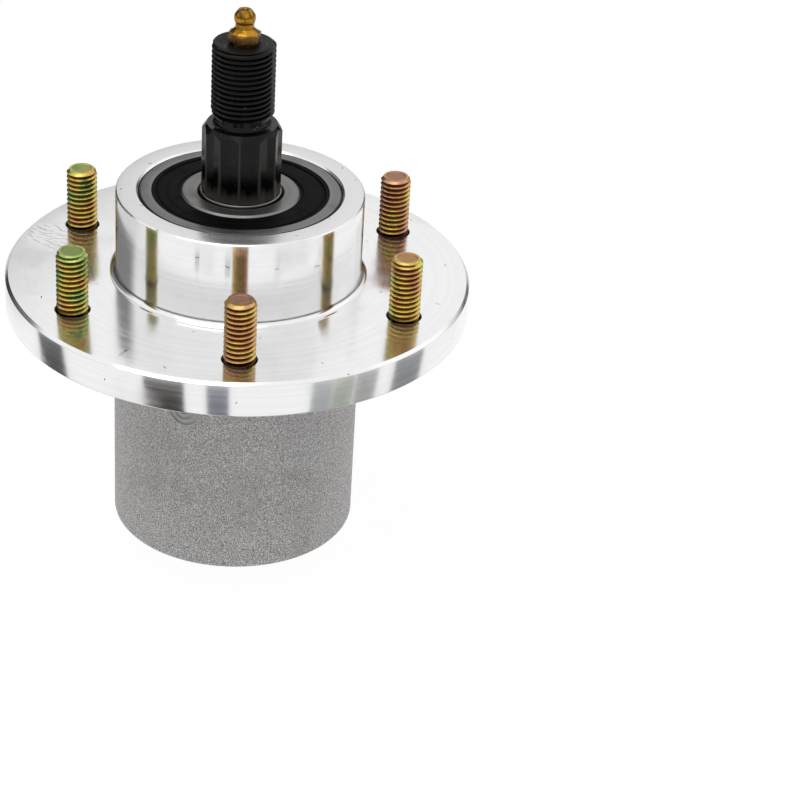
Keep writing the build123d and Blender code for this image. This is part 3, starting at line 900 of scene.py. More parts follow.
def make_yellow_zinc(scene):
    """Yellow zinc plate on the studs: copper, gold and green films, painted shade in the thread's roots and
    at the foot, and patches of dirt.
    """
    look = Finish("yellow_zinc")
    tints = scene.spindle_colours
    own = look.attribute("film")
    end = look.math("SUBTRACT", 1.0, look.attribute("side"))
    wide = look.noise(130.0, 2.0, 0.5)
    near = look.noise(700.0, 3.0, 0.6)
    blend = look.total(own, (look.math("SUBTRACT", wide, 0.45), 1.6), (look.math("SUBTRACT", near, 0.5), 0.5),
                       (look.times(look.math("SUBTRACT", own, 0.5), end), 2.0))
    film = look.node("ShaderNodeValToRGB", i0=blend)
    tones = [(0.0, tints.stud_copper), (0.36, tints.stud_gold), (0.58, tints.stud_yellow),
             (0.80, tints.stud_green), (1.0, darker(tints.stud_green, 0.8))]
    stops = film.color_ramp.elements
    while len(stops) < len(tones):
        stops.new(0.5)
    for stop, (position, colour) in zip(stops, tones):
        stop.position = position
        stop.color = rgba(colour)
    # Painted shade: the thread's roots are darkened, and made rougher, by how far they lie below the crests.
    root = look.ramp(look.attribute("crest"), 0.80, 0.10)
    height = look.parts()[2]
    # Painted shade at the stud's foot, from inside the hole to just above the flange.
    foot = look.times(look.ramp(height, 1.1 * MM, 0.3 * MM), look.ramp(height, -4 * MM, -2 * MM))
    dirt = look.times(look.smudges(260.0, 0.35), look.ramp(end, 0.0, 1.0, 0.55, 0.15))
    colour = look.mix(root, film.outputs[0], (0.22, 0.14, 0.095), "MULTIPLY")
    colour = look.mix(foot, colour, (0.10, 0.07, 0.05), "MULTIPLY")
    colour = look.layer(colour, end, 0.35, (0.16, 0.14, 0.09))
    colour = look.mix(dirt, colour, (0.11, 0.06, 0.022))
    look.feed(look.shader, Base_Color=colour, Metallic=1.0,
              Roughness=look.total(look.ramp(near, 0.3, 0.7, 0.20, 0.38), (root, 0.2), (end, 0.25)),
              Normal=look.bump(near, 0.00003))


def make_black_oxide(scene):
    """Black oxide on the shaft: dark satin steel, bright specks on the crests, lighter star tips and thread
    crests that are partly wear and partly painted highlight, and bare ground journals.
    """
    look = Finish("black_oxide")
    tints = scene.spindle_colours
    sizes = scene.spindle_shaft
    height = look.parts()[2]
    crest = look.attribute("crest")
    lip_top = top_of("upper_inner_ring") + sizes.journal_lip
    star_top = lip_top + sizes.star_height
    thread = look.ramp(height, star_top, star_top + MM, 0.12, 1.0)
    end = look.ramp(height, sizes.top - 0.2 * MM, sizes.top - 0.05 * MM)
    journal = look.times(look.math("LESS_THAN", height, lip_top + 0.02 * MM),
                         look.math("GREATER_THAN", height, bottom_of("lower_inner_ring")))
    marks = look.marks(0.0002, 0.3)
    oil = look.smudges(75.0, 0.5)
    # Lighter star tips and thread crests: partly wear, partly a painted highlight.
    worn = look.times(look.ramp(look.attribute("tip"), 0.82, 1.0), look.ramp(crest, 0.8, 1.0))
    specks = look.times(look.dings(1300.0, 0.07, 0.36), look.ramp(crest, 0.6, 0.9), thread,
                        look.smudges(110.0, 0.55))
    colour = look.mix(oil, darker(tints.oxide, 0.6), darker(tints.oxide, 1.1))
    colour = look.layer(colour, look.smudges(140.0, 0.45), 0.5, (0.018, 0.012, 0.009))
    colour = look.layer(colour, worn, 0.65, (0.078, 0.070, 0.062))
    colour = look.mix(specks, colour, (0.50, 0.48, 0.45))
    steel = look.mix(marks["Streaks"], darker(tints.ring_steel, 0.7), tints.ring_steel)
    skin = look.math("ADD", marks["Height"], look.grain(0.0005)["Height"])
    look.feed(look.shader, Base_Color=look.mix(journal, colour, steel), Metallic=journal,
              Specular_IOR_Level=0.18, Roughness=look.total(0.11, (oil, 0.16), (end, 0.30)),
              Normal=look.bump(skin, 0.000006))


def make_ground_steel(scene):
    """Ground steel of the bearing rings: satin grey, fine lines round the axis, and rounded edges painted
    near black as shade in the gaps beside them.
    """
    look = Finish("ground_steel")
    steel = scene.spindle_colours.ring_steel
    marks = look.marks(0.00012, 0.3)
    film = look.smudges(60.0, 0.5)
    colour = look.mix(marks["Streaks"], darker(steel, 0.82), steel)
    colour = look.layer(colour, film, 0.5, (0.70 * steel[0], 0.66 * steel[1], 0.58 * steel[2]))
    # Painted shade: the rounded edges beside the pocket and the shaft go near black.
    colour = look.layer(colour, look.attribute("corner"), 0.9, (0.006, 0.006, 0.006))
    look.round_axis(0.3)
    look.feed(look.shader, Base_Color=colour, Metallic=0.90, Roughness=look.total(0.34, (film, 0.12)),
              Normal=look.bump(marks["Height"], 0.000003))


def make_seal_rubber(scene):
    """Black moulded rubber of the seals, slightly dusty."""
    look = Finish("seal_rubber")
    rubber = scene.spindle_colours.seal
    dust = look.smudges(120.0, 0.45)
    look.feed(look.shader, Base_Color=look.layer(rubber, dust, 0.5, darker(rubber, 3.0)),
              Specular_IOR_Level=0.05, Roughness=look.total(0.50, (dust, 0.2)),
              Normal=look.bump(look.grain(0.0004)["Height"], 0.00001))


def make_fitting_zinc(scene):
    """Gold zinc plate on the grease fitting, its hexagon and tip brown with dirt."""
    look = Finish("fitting_zinc")
    tints = scene.spindle_colours
    dirt = look.smudges(420.0, 0.50)
    film = look.noise(380.0, 2.0)
    grime = look.attribute("grime")
    colour = look.mix(look.ramp(film, 0.38, 0.60), darker(tints.fitting_gold, 0.55), tints.fitting_gold)
    colour = look.layer(colour, grime, 0.85, tints.fitting_brown)
    colour = look.layer(colour, dirt, 0.7, darker(tints.fitting_brown, 0.4))
    look.feed(look.shader, Base_Color=colour, Metallic=1.0,
              Roughness=look.total(0.22, (dirt, 0.25), (grime, 0.2)), Normal=look.bump(film, 0.00001))


def make_cage_nylon(scene):
    """Moulded cage, tan and slightly mottled, with a film of grease."""
    look = Finish("cage_nylon")
    nylon = scene.spindle_colours.cage
    grain = look.grain(0.0005)
    grease = look.smudges(90.0, 0.55)
    look.feed(look.shader, Base_Color=look.mix(grain["Tone"], darker(nylon, 0.82), nylon),
              Roughness=look.total(0.5, (grease, -0.25)), Normal=look.bump(grain["Height"], 0.00001))


def make_plain_steels(scene):
    """Plain steel of the hidden pieces, with turning lines and grease."""
    for name, light, dark, rough, pitch in (
            ("ball_steel", (0.80, 0.80, 0.81), (0.74, 0.74, 0.75), 0.08, 0.0006),
            ("plain_steel", (0.52, 0.51, 0.50), (0.44, 0.43, 0.42), 0.32, 0.0003),
            ("spring_steel", (0.46, 0.45, 0.44), (0.38, 0.37, 0.36), 0.34, 0.0002)):
        look = Finish(name)
        marks = look.marks(pitch, 0.4)
        grease = look.smudges(90.0, 0.5)
        colour = look.layer(look.mix(marks["Streaks"], dark, light), grease, 0.4, (0.25, 0.22, 0.18))
        look.feed(look.shader, Base_Color=colour, Metallic=1.0, Roughness=look.total(rough, (grease, 0.15)),
                  Normal=look.bump(marks["Height"], 0.000003))


EFFECTS = (build_turning_marks, build_dings, build_scratches, build_grain, build_smudges)
FINISHES = (
    make_turned_aluminium, make_nick_dirt_and_hole_shade, make_cast_aluminium, make_yellow_zinc, make_black_oxide,
    make_ground_steel, make_seal_rubber, make_fitting_zinc, make_cage_nylon, make_plain_steels,
)


def paint(name):
    """A material by name."""
    return bpy.data.materials[FINISH + name]


class SPINDLE_OT_finishes(bpy.types.Operator):
    """Build the shader effects and the materials"""

    bl_idname = "spindle.finishes"
    bl_label = "Finishes"

    def execute(self, context):
        for build in EFFECTS:
            build()
        for make in FINISHES:
            make(context.scene)
        return {"FINISHED"}


class SPINDLE_OT_housing(bpy.types.Operator):
    """Turn the housing, drill its stud holes and cut the foundry mark"""

    bl_idname = "spindle.housing"
    bl_label = "Housing"

    def execute(self, context):
        sizes = context.scene.spindle_housing
        piece = turned_piece("bearing_housing", self.section(context), steps=256)
        piece.data.materials.append(paint("turned_aluminium"))
        # The stud holes' tool carries the dark nick material: grime and painted shade in the holes.
        for tool, finish, crossing in ((self.foundry_mark(sizes), "turned_aluminium", False),
                                       (self.stud_holes(context), "nicked_aluminium", False),
                                       (self.nicks(sizes), "nicked_aluminium", True)):
            tool.data.materials.clear()
            tool.data.materials.append(paint(finish))
            combine(piece, tool, "DIFFERENCE", crossing)
        if len(piece.data.polygons) < LEAST_HOUSING_FACES:
            raise RuntimeError("the housing was lost in its cuts")
        nicked_or_shaded = [face.index for face in piece.data.polygons if face.material_index > 0]
        smooth(piece, 17)
        dress(piece, "housing", ["housing"], "cast_aluminium", paint("turned_aluminium"),
              paint("cast_aluminium"), paint("nicked_aluminium"))
        skin = sizes.barrel_radius - 2 * sizes.mark_depth
        for face in piece.data.polygons:
            radius = math.hypot(face.center.x, face.center.y)
            below = face.center.z < -sizes.flange_thickness + 0.01 * MM
            above_end = face.center.z > sizes.barrel_bottom + 0.01 * MM
            face.material_index = CAST if below and above_end and radius > skin else MACHINED
        # Nick bottoms and stud holes keep the dark material: dirt in the nicks, grime and painted shade in
        # the holes.
        for index in nicked_or_shaded:
            piece.data.polygons[index].material_index = NICKED_OR_SHADED
        return {"FINISHED"}

    def section(self, context):
        """The housing's half section, from the boss's foot round to its wall."""
        sizes = context.scene.spindle_housing
        bearing = context.scene.spindle_bearing
        worn = sizes.edge_round
        barrel_end = sizes.barrel_bottom
        foot = sizes.boss_radius + sizes.root_radius
        foot_top = sizes.root_step + sizes.root_radius
        bore = sizes.pocket_radius - sizes.shoulder
        upper_shoulder = bottom_of("upper_outer_ring")
        lower_shoulder = top_of("lower_outer_ring")
        mouth = sizes.pocket_radius + sizes.pocket_chamfer
        section = rounded([
            (foot, 0),
            (sizes.flange_radius - sizes.flange_chamfer, 0, worn),
            (sizes.flange_radius, -sizes.flange_chamfer, worn),
            (sizes.flange_radius, -sizes.flange_thickness, 4 * worn),
            (sizes.barrel_radius, -sizes.flange_thickness, sizes.barrel_root),
            (sizes.barrel_radius, barrel_end, sizes.barrel_round),
            (mouth, barrel_end, worn),
            (sizes.pocket_radius, barrel_end + sizes.pocket_chamfer),
            (sizes.pocket_radius, lower_shoulder),
            (bore, lower_shoulder),
            (bore, upper_shoulder),
            (sizes.pocket_radius, upper_shoulder),
            (sizes.pocket_radius, sizes.boss_height - sizes.pocket_chamfer),
            (mouth, sizes.boss_height, worn),
            (sizes.boss_radius - sizes.boss_chamfer, sizes.boss_height, worn),
            (sizes.boss_radius, sizes.boss_height - sizes.boss_chamfer, worn),
            (sizes.boss_radius, foot_top),
        ], steps=6)
        section += arc((foot, foot_top), sizes.root_radius, 180, 270, 8)[1:]
        return section

    def stud_holes(self, context):
        """One tool that holds all the chamfered stud holes."""
        sizes = context.scene.spindle_housing
        studs = context.scene.spindle_studs
        low = -sizes.flange_thickness - MM
        drill = turned_piece("stud_hole", [
            (0, low),
            (sizes.hole_radius, low),
            (sizes.hole_radius, -sizes.hole_chamfer),
            (sizes.hole_radius + sizes.hole_chamfer + 0.5 * MM, 0.5 * MM),
            (0, 0.5 * MM),
        ], steps=64)
        return join(*around(drill, studs))

    def nicks(self, sizes):
        """One tool for the small nicks and scrapes that handling left on the machined faces and edges."""
        dice = random.Random(sizes.nick_seed)
        bpy.ops.object.select_all(action="DESELECT")
        bpy.ops.mesh.primitive_uv_sphere_add(segments=8, ring_count=6, radius=1.0)
        dent = bpy.context.active_object
        flange = sizes.flange_radius
        boss = sizes.boss_radius
        top = sizes.boss_height
        rows = []

        def row(count, radius, height, angles, lengths, tilt, turns, size=1.0):
            """Spreads dents over a range of radii, heights, angles and lengths, a little at random."""
            for step in range(count):
                along = (step + dice.uniform(0.15, 0.85)) / count
                angle = math.radians(angles[0] + (angles[1] - angles[0]) * along)
                place = Matrix.Translation((dice.uniform(*radius), 0, dice.uniform(*height)))
                lean = Matrix.Rotation(math.radians(tilt), 4, "Y")
                twist = Matrix.Rotation(math.radians(dice.uniform(*turns)), 4, "Z")
                deep = size * sizes.nick_depth * dice.uniform(0.7, 1.3)
                wide = size * sizes.nick_width * dice.uniform(0.7, 1.3)
                shape = Matrix.Diagonal((dice.uniform(*lengths) * MM / 2, wide / 2, deep, 1))
                lift = Matrix.Translation((0, 0, 0.2 * deep))
                matrix = front_turn(angle) @ place @ lean @ lift @ twist @ shape
                rows.append(copy_at(dent, f"nick_{len(rows)}", matrix))

        row(6, (boss + 5 * MM, boss + 8 * MM), (0, 0), (-150, 150), (0.7, 1.8), 0, (0, 180))
        row(9, (flange - 9 * MM, flange - 3 * MM), (0, 0), (-80, 170), (0.7, 2.0), 0, (0, 180))
        row(8, (boss - 6 * MM, boss - 1.5 * MM), (top, top), (-150, 150), (0.9, 2.4), 0, (-60, 60))
        row(10, (boss - 0.2 * MM, boss), (top - 0.2 * MM, top), (-80, -22), (0.8, 2.2), 45, (60, 120), 1.5)
        row(5, (boss - 0.2 * MM, boss), (top - 0.2 * MM, top), (-10, 130), (0.6, 1.4), 45, (60, 120))
        row(11, (flange - 0.5 * MM, flange), (-0.5 * MM, 0), (-115, 115), (0.8, 2.2), 45, (60, 120), 1.2)
        row(4, (boss, boss), (0.55 * top, 0.85 * top), (-34, 40), (1.2, 2.6), 90, (65, 110), 0.7)
        row(4, (flange, flange), (-7 * MM, -3 * MM), (-60, 80), (0.8, 1.8), 90, (-30, 30), 0.8)
        for band in range(5):
            inner = flange - (16 - 3 * band) * MM
            row(8, (inner, inner + 2 * MM), (0, 0), (-119 + 1.5 * band, -99 - 1.5 * band), (2.0, 4.6), 0,
                (-30, 5), 0.55)
        bpy.data.objects.remove(dent)
        return join(*rows)

    def foundry_mark(self, sizes):
        """One tool for the mark's round grooves, which follow the barrel's curve."""
        reach = 2 * sizes.mark_depth
        grooves = []
        turn = 0
        outer = sizes.mark_radius
        while outer > 0.5 * sizes.mark_groove:
            inner = max(outer - sizes.mark_groove, 0)
            section = [(inner, -reach), (outer, -reach), (outer, reach), (inner, reach)]
            grooves.append(turned_piece(f"mark_groove_{turn}", section, steps=64))
            outer -= sizes.mark_groove + sizes.mark_ring
            turn += 1
        tool = join(*grooves)
        height = -sizes.flange_thickness - sizes.mark_drop
        outward = Matrix.Translation((sizes.barrel_radius, 0, height)) @ Matrix.Rotation(math.pi / 2, 4, "Y")
        tool.matrix_world = front_turn(sizes.mark_angle) @ outward
        apply_place(tool)
        core = sizes.barrel_radius - sizes.mark_depth
        past = 3 * sizes.mark_radius
        drum = plain_cylinder("mark_core", core, height - past, height + past, steps=256)
        combine(tool, drum, "DIFFERENCE")
        return tool


class SPINDLE_OT_studs(bpy.types.Operator):
    """Model one stud with its thread, ribbed neck and domed head, and copy it round the flange"""

    bl_idname = "spindle.studs"
    bl_label = "Deck studs"

    def execute(self, context):
        sizes = context.scene.spindle_studs
        flange = context.scene.spindle_housing
        seat = -flange.flange_thickness
        rim = seat - sizes.head_edge
        crown = rim - sizes.head_dome
        dome_radius = (sizes.head_radius**2 + sizes.head_dome**2) / (2 * sizes.head_dome)
        spread = math.degrees(math.asin(sizes.head_radius / dome_radius))
        dome = arc((0, crown + dome_radius), dome_radius, -90, -90 + spread, 10)
        head = turned_piece("stud_head", dome + [(sizes.head_radius, seat), (0, seat)], steps=64)
        rib_radius = flange.hole_radius - 0.01 * MM
        neck = star_prism("stud_neck", sizes.rib_count, rib_radius, rib_radius - sizes.rib_depth, 0,
                          seat, seat + sizes.rib_length, 0)
        stud = threaded_rod("stud_rod", sizes.thread_radius, sizes.pitch, seat + 0.5 * sizes.rib_length,
                           sizes.top, 0.3 * MM, sizes.end_chamfer, steps=48)
        combine(neck, head, "UNION")
        combine(stud, neck, "UNION")
        dish = turned_piece("stud_dish", [
            (0, sizes.top - sizes.dish_depth),
            (sizes.dish_radius - 0.25 * MM, sizes.top - 0.9 * sizes.dish_depth),
            (sizes.dish_radius, sizes.top + 0.1 * MM),
            (0, sizes.top + 0.1 * MM),
        ], steps=48)
        combine(stud, dish, "DIFFERENCE")
        mark_height(stud, "side", sizes.dish_radius - 0.15 * MM, sizes.dish_radius + 0.1 * MM,
                    above=sizes.top - 2 * sizes.dish_depth)
        # The crest values also place the painted shade in the studs' thread roots.
        root = sizes.thread_radius - thread_depth(sizes.pitch)
        mark_height(stud, "crest", root, sizes.thread_radius, above=0,
                    below=sizes.top - 0.9 * sizes.end_chamfer)
        smooth(stud, 40)
        copies = around(stud, sizes, twist=2.1)
        for turn, copy in enumerate(copies):
            mark_value(copy, "film", sizes.films[turn % len(sizes.films)])
        studs = called(join(*copies), "flange_studs")
        dress(studs, "housing", ["deck_studs"], "yellow_zinc", paint("yellow_zinc"))
        return {"FINISHED"}


class SPINDLE_OT_shaft(bpy.types.Operator):
    """Model the shaft: blade seat, journals, 12-point star, relief and thread"""

    bl_idname = "spindle.shaft"
    bl_label = "Star shaft"

    def execute(self, context):
        sizes = context.scene.spindle_shaft
        lip_top = top_of("upper_inner_ring") + sizes.journal_lip
        star_top = lip_top + sizes.star_height
        body = turned_piece("shaft_body", self.section(context, lip_top, star_top), steps=160)
        star = star_prism("shaft_star", sizes.star_points, sizes.star_tip, sizes.star_valley,
                          sizes.star_angle - math.pi / 2, lip_top - 0.2 * MM, star_top, sizes.star_round)
        cone = self.star_cone(sizes, lip_top - MM, star_top)
        combine(star, cone, "INTERSECT")
        rod = threaded_rod("shaft_thread", sizes.thread_radius, sizes.pitch, star_top + sizes.neck_length,
                           sizes.top, sizes.start_chamfer, sizes.end_chamfer, steps=96)
        combine(body, star, "UNION")
        combine(body, rod, "UNION")
        combine(body, self.hole_tool(context), "DIFFERENCE", crossing=True)
        shaft = called(body, "star_shaft")
        root = sizes.thread_radius - thread_depth(sizes.pitch)
        mark_height(shaft, "crest", root, sizes.thread_radius, above=star_top + sizes.neck_length,
                    below=sizes.top - 0.9 * sizes.end_chamfer)
        mark_height(shaft, "tip", sizes.star_valley, sizes.star_tip, above=lip_top)
        smooth(shaft, 32)
        dress(shaft, "rotor", ["shaft"], "black_oxide", paint("black_oxide"))
        return {"FINISHED"}

    def section(self, context, lip_top, star_top):
        """The shaft's half section without its star and thread, from the bolt hole's end to the neck."""
        sizes = context.scene.spindle_shaft
        seat_top = sizes.bottom + sizes.seat_thickness
        shoulder = reach_of("lower_inner_ring") - sizes.shoulder_step
        bolt_end = sizes.bottom + sizes.bolt_depth
        cut = sizes.seat_chamfer
        soft = 0.2 * MM
        inside = sizes.neck_radius - 0.3 * MM
        flare = sizes.neck_radius + 0.55 * MM
        neck_top = star_top + sizes.neck_length
        core = sizes.thread_radius - thread_depth(sizes.pitch) - 0.1 * MM
        waist = sizes.journal_radius - sizes.waist_depth
        waist_low = top_of("lower_inner_ring") - sizes.waist_inset
        waist_high = bottom_of("upper_inner_ring") + sizes.waist_inset
        return rounded([
            (0, bolt_end + sizes.bolt_radius / 2),
            (sizes.bolt_radius, bolt_end),
            (sizes.bolt_radius, sizes.bottom + sizes.bolt_chamfer),
            (sizes.bolt_radius + sizes.bolt_chamfer, sizes.bottom),
            (sizes.seat_radius - cut, sizes.bottom, soft),
            (sizes.seat_radius, sizes.bottom + cut, soft),
            (sizes.seat_radius, seat_top - cut, soft),
            (sizes.seat_radius - cut, seat_top, soft),
            (shoulder, seat_top, 2 * soft),
            (shoulder, bottom_of("lower_inner_ring")),
            (sizes.journal_radius, bottom_of("lower_inner_ring")),
            (sizes.journal_radius, waist_low),
            (waist, waist_low + sizes.waist_depth),
            (waist, waist_high - sizes.waist_depth),
            (sizes.journal_radius, waist_high),
            (sizes.journal_radius, lip_top, sizes.lip_round),
            (inside, lip_top),
            (inside, star_top - 0.3 * MM),
            (flare, star_top - 0.01 * MM),
            (flare, star_top + 0.02 * MM),
            (sizes.neck_radius - 0.05 * MM, star_top + 0.25 * MM, 0.3 * MM),
            (sizes.neck_radius - 0.15 * MM, star_top + 0.5 * sizes.neck_length, 1.0 * MM),
            (core, neck_top + 0.3 * MM),
            (core, neck_top + 2 * MM),
            (0, neck_top + 2 * MM),
        ], steps=4)

    def hole_tool(self, context):
        """The tool for the fitting's socket, the grease passage and the cross hole, as one closed shell."""
        sizes = context.scene.spindle_shaft
        fitting = context.scene.spindle_fitting
        socket_low = fitting.bottom - fitting.standoff
        wide = fitting.shank_radius + sizes.socket_gap
        middle = (bottom_of("upper_outer_ring") + top_of("lower_outer_ring")) / 2
        passage = turned_piece("grease_passage", [
            (0, middle),
            (sizes.grease_hole, middle),
            (sizes.grease_hole, socket_low),
            (wide, socket_low),
            (wide, sizes.top + MM),
            (0, sizes.top + MM),
        ], steps=48)
        reach = 2 * sizes.journal_radius
        narrow = 0.96 * sizes.grease_hole
        across = plain_cylinder("cross_hole", narrow, -reach, reach, steps=32)
        lying = Matrix.Rotation(math.pi / 2, 4, "Y") @ Matrix.Rotation(0.1, 4, "Z")
        across.matrix_world = Matrix.Translation((0, 0, middle)) @ lying
        apply_place(across)
        combine(passage, across, "UNION")
        return passage

    def star_cone(self, sizes, low, star_top):
        """The turned envelope that cuts the star's points back to a cone at the top."""
        reach = sizes.star_tip + MM
        slope = (sizes.star_tip - sizes.star_face) / sizes.star_chamfer
        drop = (reach - sizes.star_face) / slope
        return turned_piece("star_cone", [
            (0, low),
            (reach, low),
            (reach, star_top - drop),
            (sizes.star_face, star_top - 0.01 * MM),
            (0, star_top - 0.01 * MM),
        ], steps=192)


class SPINDLE_OT_bearings(bpy.types.Operator):
    """Turn both bearings' rings and their rubber seals"""

    bl_idname = "spindle.bearings"
    bl_label = "Bearing rings and seals"

    def execute(self, context):
        sizes = context.scene.spindle_bearing
        circle = (sizes.bore_radius + sizes.outer_radius) / 2
        pieces = {
            "outer_ring": turned_piece("outer_ring", self.outer_section(sizes, circle), steps=224),
            "inner_ring": turned_piece("inner_ring", self.inner_section(sizes, circle), steps=160),
            "seal": turned_piece("seal", self.seal_section(sizes, circle), steps=192),
        }
        # The corner values mark where the ground steel is painted near black as shade.
        edge = sizes.outer_radius - 0.5 * sizes.corner
        mark_height(pieces["outer_ring"], "corner", edge - 0.3 * MM, edge)
        edge = sizes.bore_radius + 0.5 * sizes.corner
        mark_height(pieces["inner_ring"], "corner", edge + 0.3 * MM, edge)
        for piece in pieces.values():
            smooth(piece)
        upright = Matrix.Identity(4)
        flipped = Matrix.Rotation(math.pi, 4, "X")
        for bearing in BEARINGS:
            outer = f"{bearing}_outer_ring"
            middle = Matrix.Translation((0, 0, (top_of(outer) + bottom_of(outer)) / 2))
            ring = copy_at(pieces["outer_ring"], f"{bearing}_bearing_outer", middle)
            dress(ring, "housing", [outer], "ring_steel", paint("ground_steel"))
            ring = copy_at(pieces["inner_ring"], f"{bearing}_bearing_inner", middle)
            dress(ring, "rotor", [f"{bearing}_inner_ring"], "ring_steel", paint("ground_steel"))
            for side, turn in (("top", upright), ("bottom", flipped)):
                seal = copy_at(pieces["seal"], f"{bearing}_{side}_rubber_seal", middle @ turn)
                dress(seal, "housing", [f"{bearing}_{side}_seal"], "seal_rubber", paint("seal_rubber"))
        for piece in pieces.values():
            bpy.data.objects.remove(piece)
        return {"FINISHED"}

    def outer_section(self, sizes, circle):
        """The outer ring's half section about its own middle."""
        face = sizes.width / 2
        ledge = face - sizes.seal_seat
        seat = sizes.outer_radius - sizes.seal_wall
        groove = seat + sizes.seal_groove
        lip = face - sizes.seal_lip
        land = circle + sizes.land_offset
        centre = circle + sizes.ball_radius + sizes.ball_gap - sizes.race_radius
        reach = math.degrees(math.acos((land - centre) / sizes.race_radius))
        upper = rounded([
            (sizes.outer_radius, 0),
            (sizes.outer_radius, face, sizes.corner),
            (seat, face, 0.15 * MM),
            (seat, lip),
            (groove, lip),
            (groove, ledge),
            (land, ledge),
        ], steps=5)
        lower = [(radius, -height) for radius, height in reversed(upper)]
        return upper + arc((centre, 0), sizes.race_radius, reach, -reach, 16) + lower[:-1]

    def inner_section(self, sizes, circle):
        """The inner ring's half section about its own middle."""
        face = sizes.width / 2
        land = circle - sizes.land_offset
        centre = circle - sizes.ball_radius - sizes.ball_gap + sizes.race_radius
        reach = math.degrees(math.acos((centre - land) / sizes.race_radius))
        upper = rounded([
            (sizes.bore_radius, 0),
            (sizes.bore_radius, face, sizes.corner),
            (land - sizes.inner_chamfer, face, 0.1 * MM),
            (land, face - sizes.inner_chamfer),
        ], steps=5)
        lower = [(radius, -height) for radius, height in reversed(upper)]
        return upper + arc((centre, 0), sizes.race_radius, 180 - reach, 180 + reach, 16) + lower[:-1]

    def seal_section(self, sizes, circle):
        """The upper seal's half section about the bearing's middle."""
        face = sizes.width / 2
        back = face - sizes.seal_seat
        front = face - sizes.seal_recess
        gap = 0.02 * MM
        rim = sizes.outer_radius - sizes.seal_wall + sizes.seal_groove - gap
        bead = face - sizes.seal_lip - gap
        edge = sizes.outer_radius - sizes.seal_wall - gap
        channel = edge - sizes.seal_rim
        web = channel - sizes.seal_channel
        floor = front - sizes.seal_channel_depth
        lip = circle - sizes.land_offset + 0.05 * MM
        ridge = lip + sizes.seal_edge
        soft = 0.12 * MM
        return rounded([
            (rim, back),
            (rim, bead),
            (edge, bead),
            (edge, front, soft),
            (channel, front, soft),
            (channel - 0.25 * MM, floor, soft),
            (web + 0.2 * MM, floor, soft),
            (web, front - soft, soft),
            (web - 2.6 * MM, front - 0.16 * MM, soft),
            (web - 2.9 * MM, front - 0.02 * MM, soft),
            (ridge, front - 0.02 * MM, soft),
            (ridge - 0.15 * MM, front - sizes.seal_edge_drop, soft),
            (lip, front - sizes.seal_edge_drop, 0.1 * MM),
            (lip, back),
        ], steps=3)


class SPINDLE_OT_fitting(bpy.types.Operator):
    """Model the grease fitting: shank, hexagon, neck and hollow ball head"""

    bl_idname = "spindle.fitting"
    bl_label = "Grease fitting"

    def execute(self, context):
        sizes = context.scene.spindle_fitting
        hex_bottom = context.scene.spindle_shaft.top + sizes.standoff
        hex_top = hex_bottom + sizes.hex_height
        fitting = turned_piece("grease_nipple", self.section(sizes, hex_bottom, hex_top), steps=96)
        combine(fitting, self.hexagon(sizes, hex_bottom, hex_top), "UNION")
        flat = sizes.hex_flats / 2
        mark_height(fitting, "grime", 0.96 * flat, flat)
        smooth(fitting, 28)
        dress(fitting, "rotor", ["grease_fitting_body"], "fitting_zinc", paint("fitting_zinc"))
        return {"FINISHED"}

    def section(self, sizes, hex_bottom, hex_top):
        """The turned body's half section, round the outside and back through the valve chamber."""
        neck_low = hex_top + sizes.cone_height
        neck_high = neck_low + sizes.neck_length
        rise = math.sqrt(sizes.head_radius**2 - sizes.neck_radius**2)
        middle = neck_high + rise
        low_angle = -math.degrees(math.asin(rise / sizes.head_radius))
        head = arc((0, middle), sizes.head_radius, low_angle, 20, 12)
        head += [(sizes.tip_radius + 0.12 * MM, sizes.top - 0.16 * MM), (sizes.tip_radius, sizes.top)]
        chamber_top = top_of("grease_check_ball") - sizes.ball_radius * 0.4
        chamfer = 0.4 * MM
        relief = sizes.shank_radius - 0.35 * MM
        outside = rounded([
            (sizes.ledge_radius, sizes.bottom),
            (sizes.shank_radius - chamfer, sizes.bottom),
            (sizes.shank_radius, sizes.bottom + chamfer),
            (sizes.shank_radius, hex_bottom - chamfer),
            (relief, hex_bottom - 0.1 * MM),
            (relief, hex_bottom + 0.5 * MM),
            (relief - 0.15 * MM, hex_top - 0.3 * MM),
            (sizes.cone_radius, hex_top),
            (sizes.neck_radius, neck_low, 0.6 * MM),
            (sizes.neck_radius, neck_high),
        ], steps=4)
        inside = [
            (sizes.mouth_radius + 0.2 * MM, sizes.top),
            (sizes.mouth_radius, sizes.top - 0.2 * MM),
            (sizes.mouth_radius, chamber_top),
            (sizes.chamber_radius, chamber_top - 0.12 * MM),
            (sizes.chamber_radius, sizes.bottom + sizes.ledge_height),
            (sizes.ledge_radius, sizes.bottom + sizes.ledge_height),
        ]
        return outside + head + inside

    def hexagon(self, sizes, low, high):
        """The hexagon, with its corners chamfered as a turning tool leaves them."""
        corner = sizes.hex_flats / math.sqrt(3)
        sliver = 0.001 * MM
        clear = corner + 0.01 * MM
        bpy.ops.object.select_all(action="DESELECT")
        bpy.ops.mesh.primitive_cylinder_add(vertices=6, radius=corner, depth=high - low,
                                            location=(0, 0, (low + high) / 2),
                                            rotation=(0, 0, sizes.hex_angle))
        block = called(bpy.context.active_object, "fitting_hexagon")
        bpy.ops.object.transform_apply(location=True, rotation=True, scale=True)
        trim = turned_piece("hexagon_trim", [
            (0, low - sliver),
            (corner - sizes.hex_break, low - sliver),
            (clear, low + sizes.hex_break),
            (clear, high - sizes.hex_drop),
            (0.49 * sizes.hex_flats, high + sliver),
            (0, high + sliver),
        ], steps=96)
        combine(block, trim, "INTERSECT")
        return block


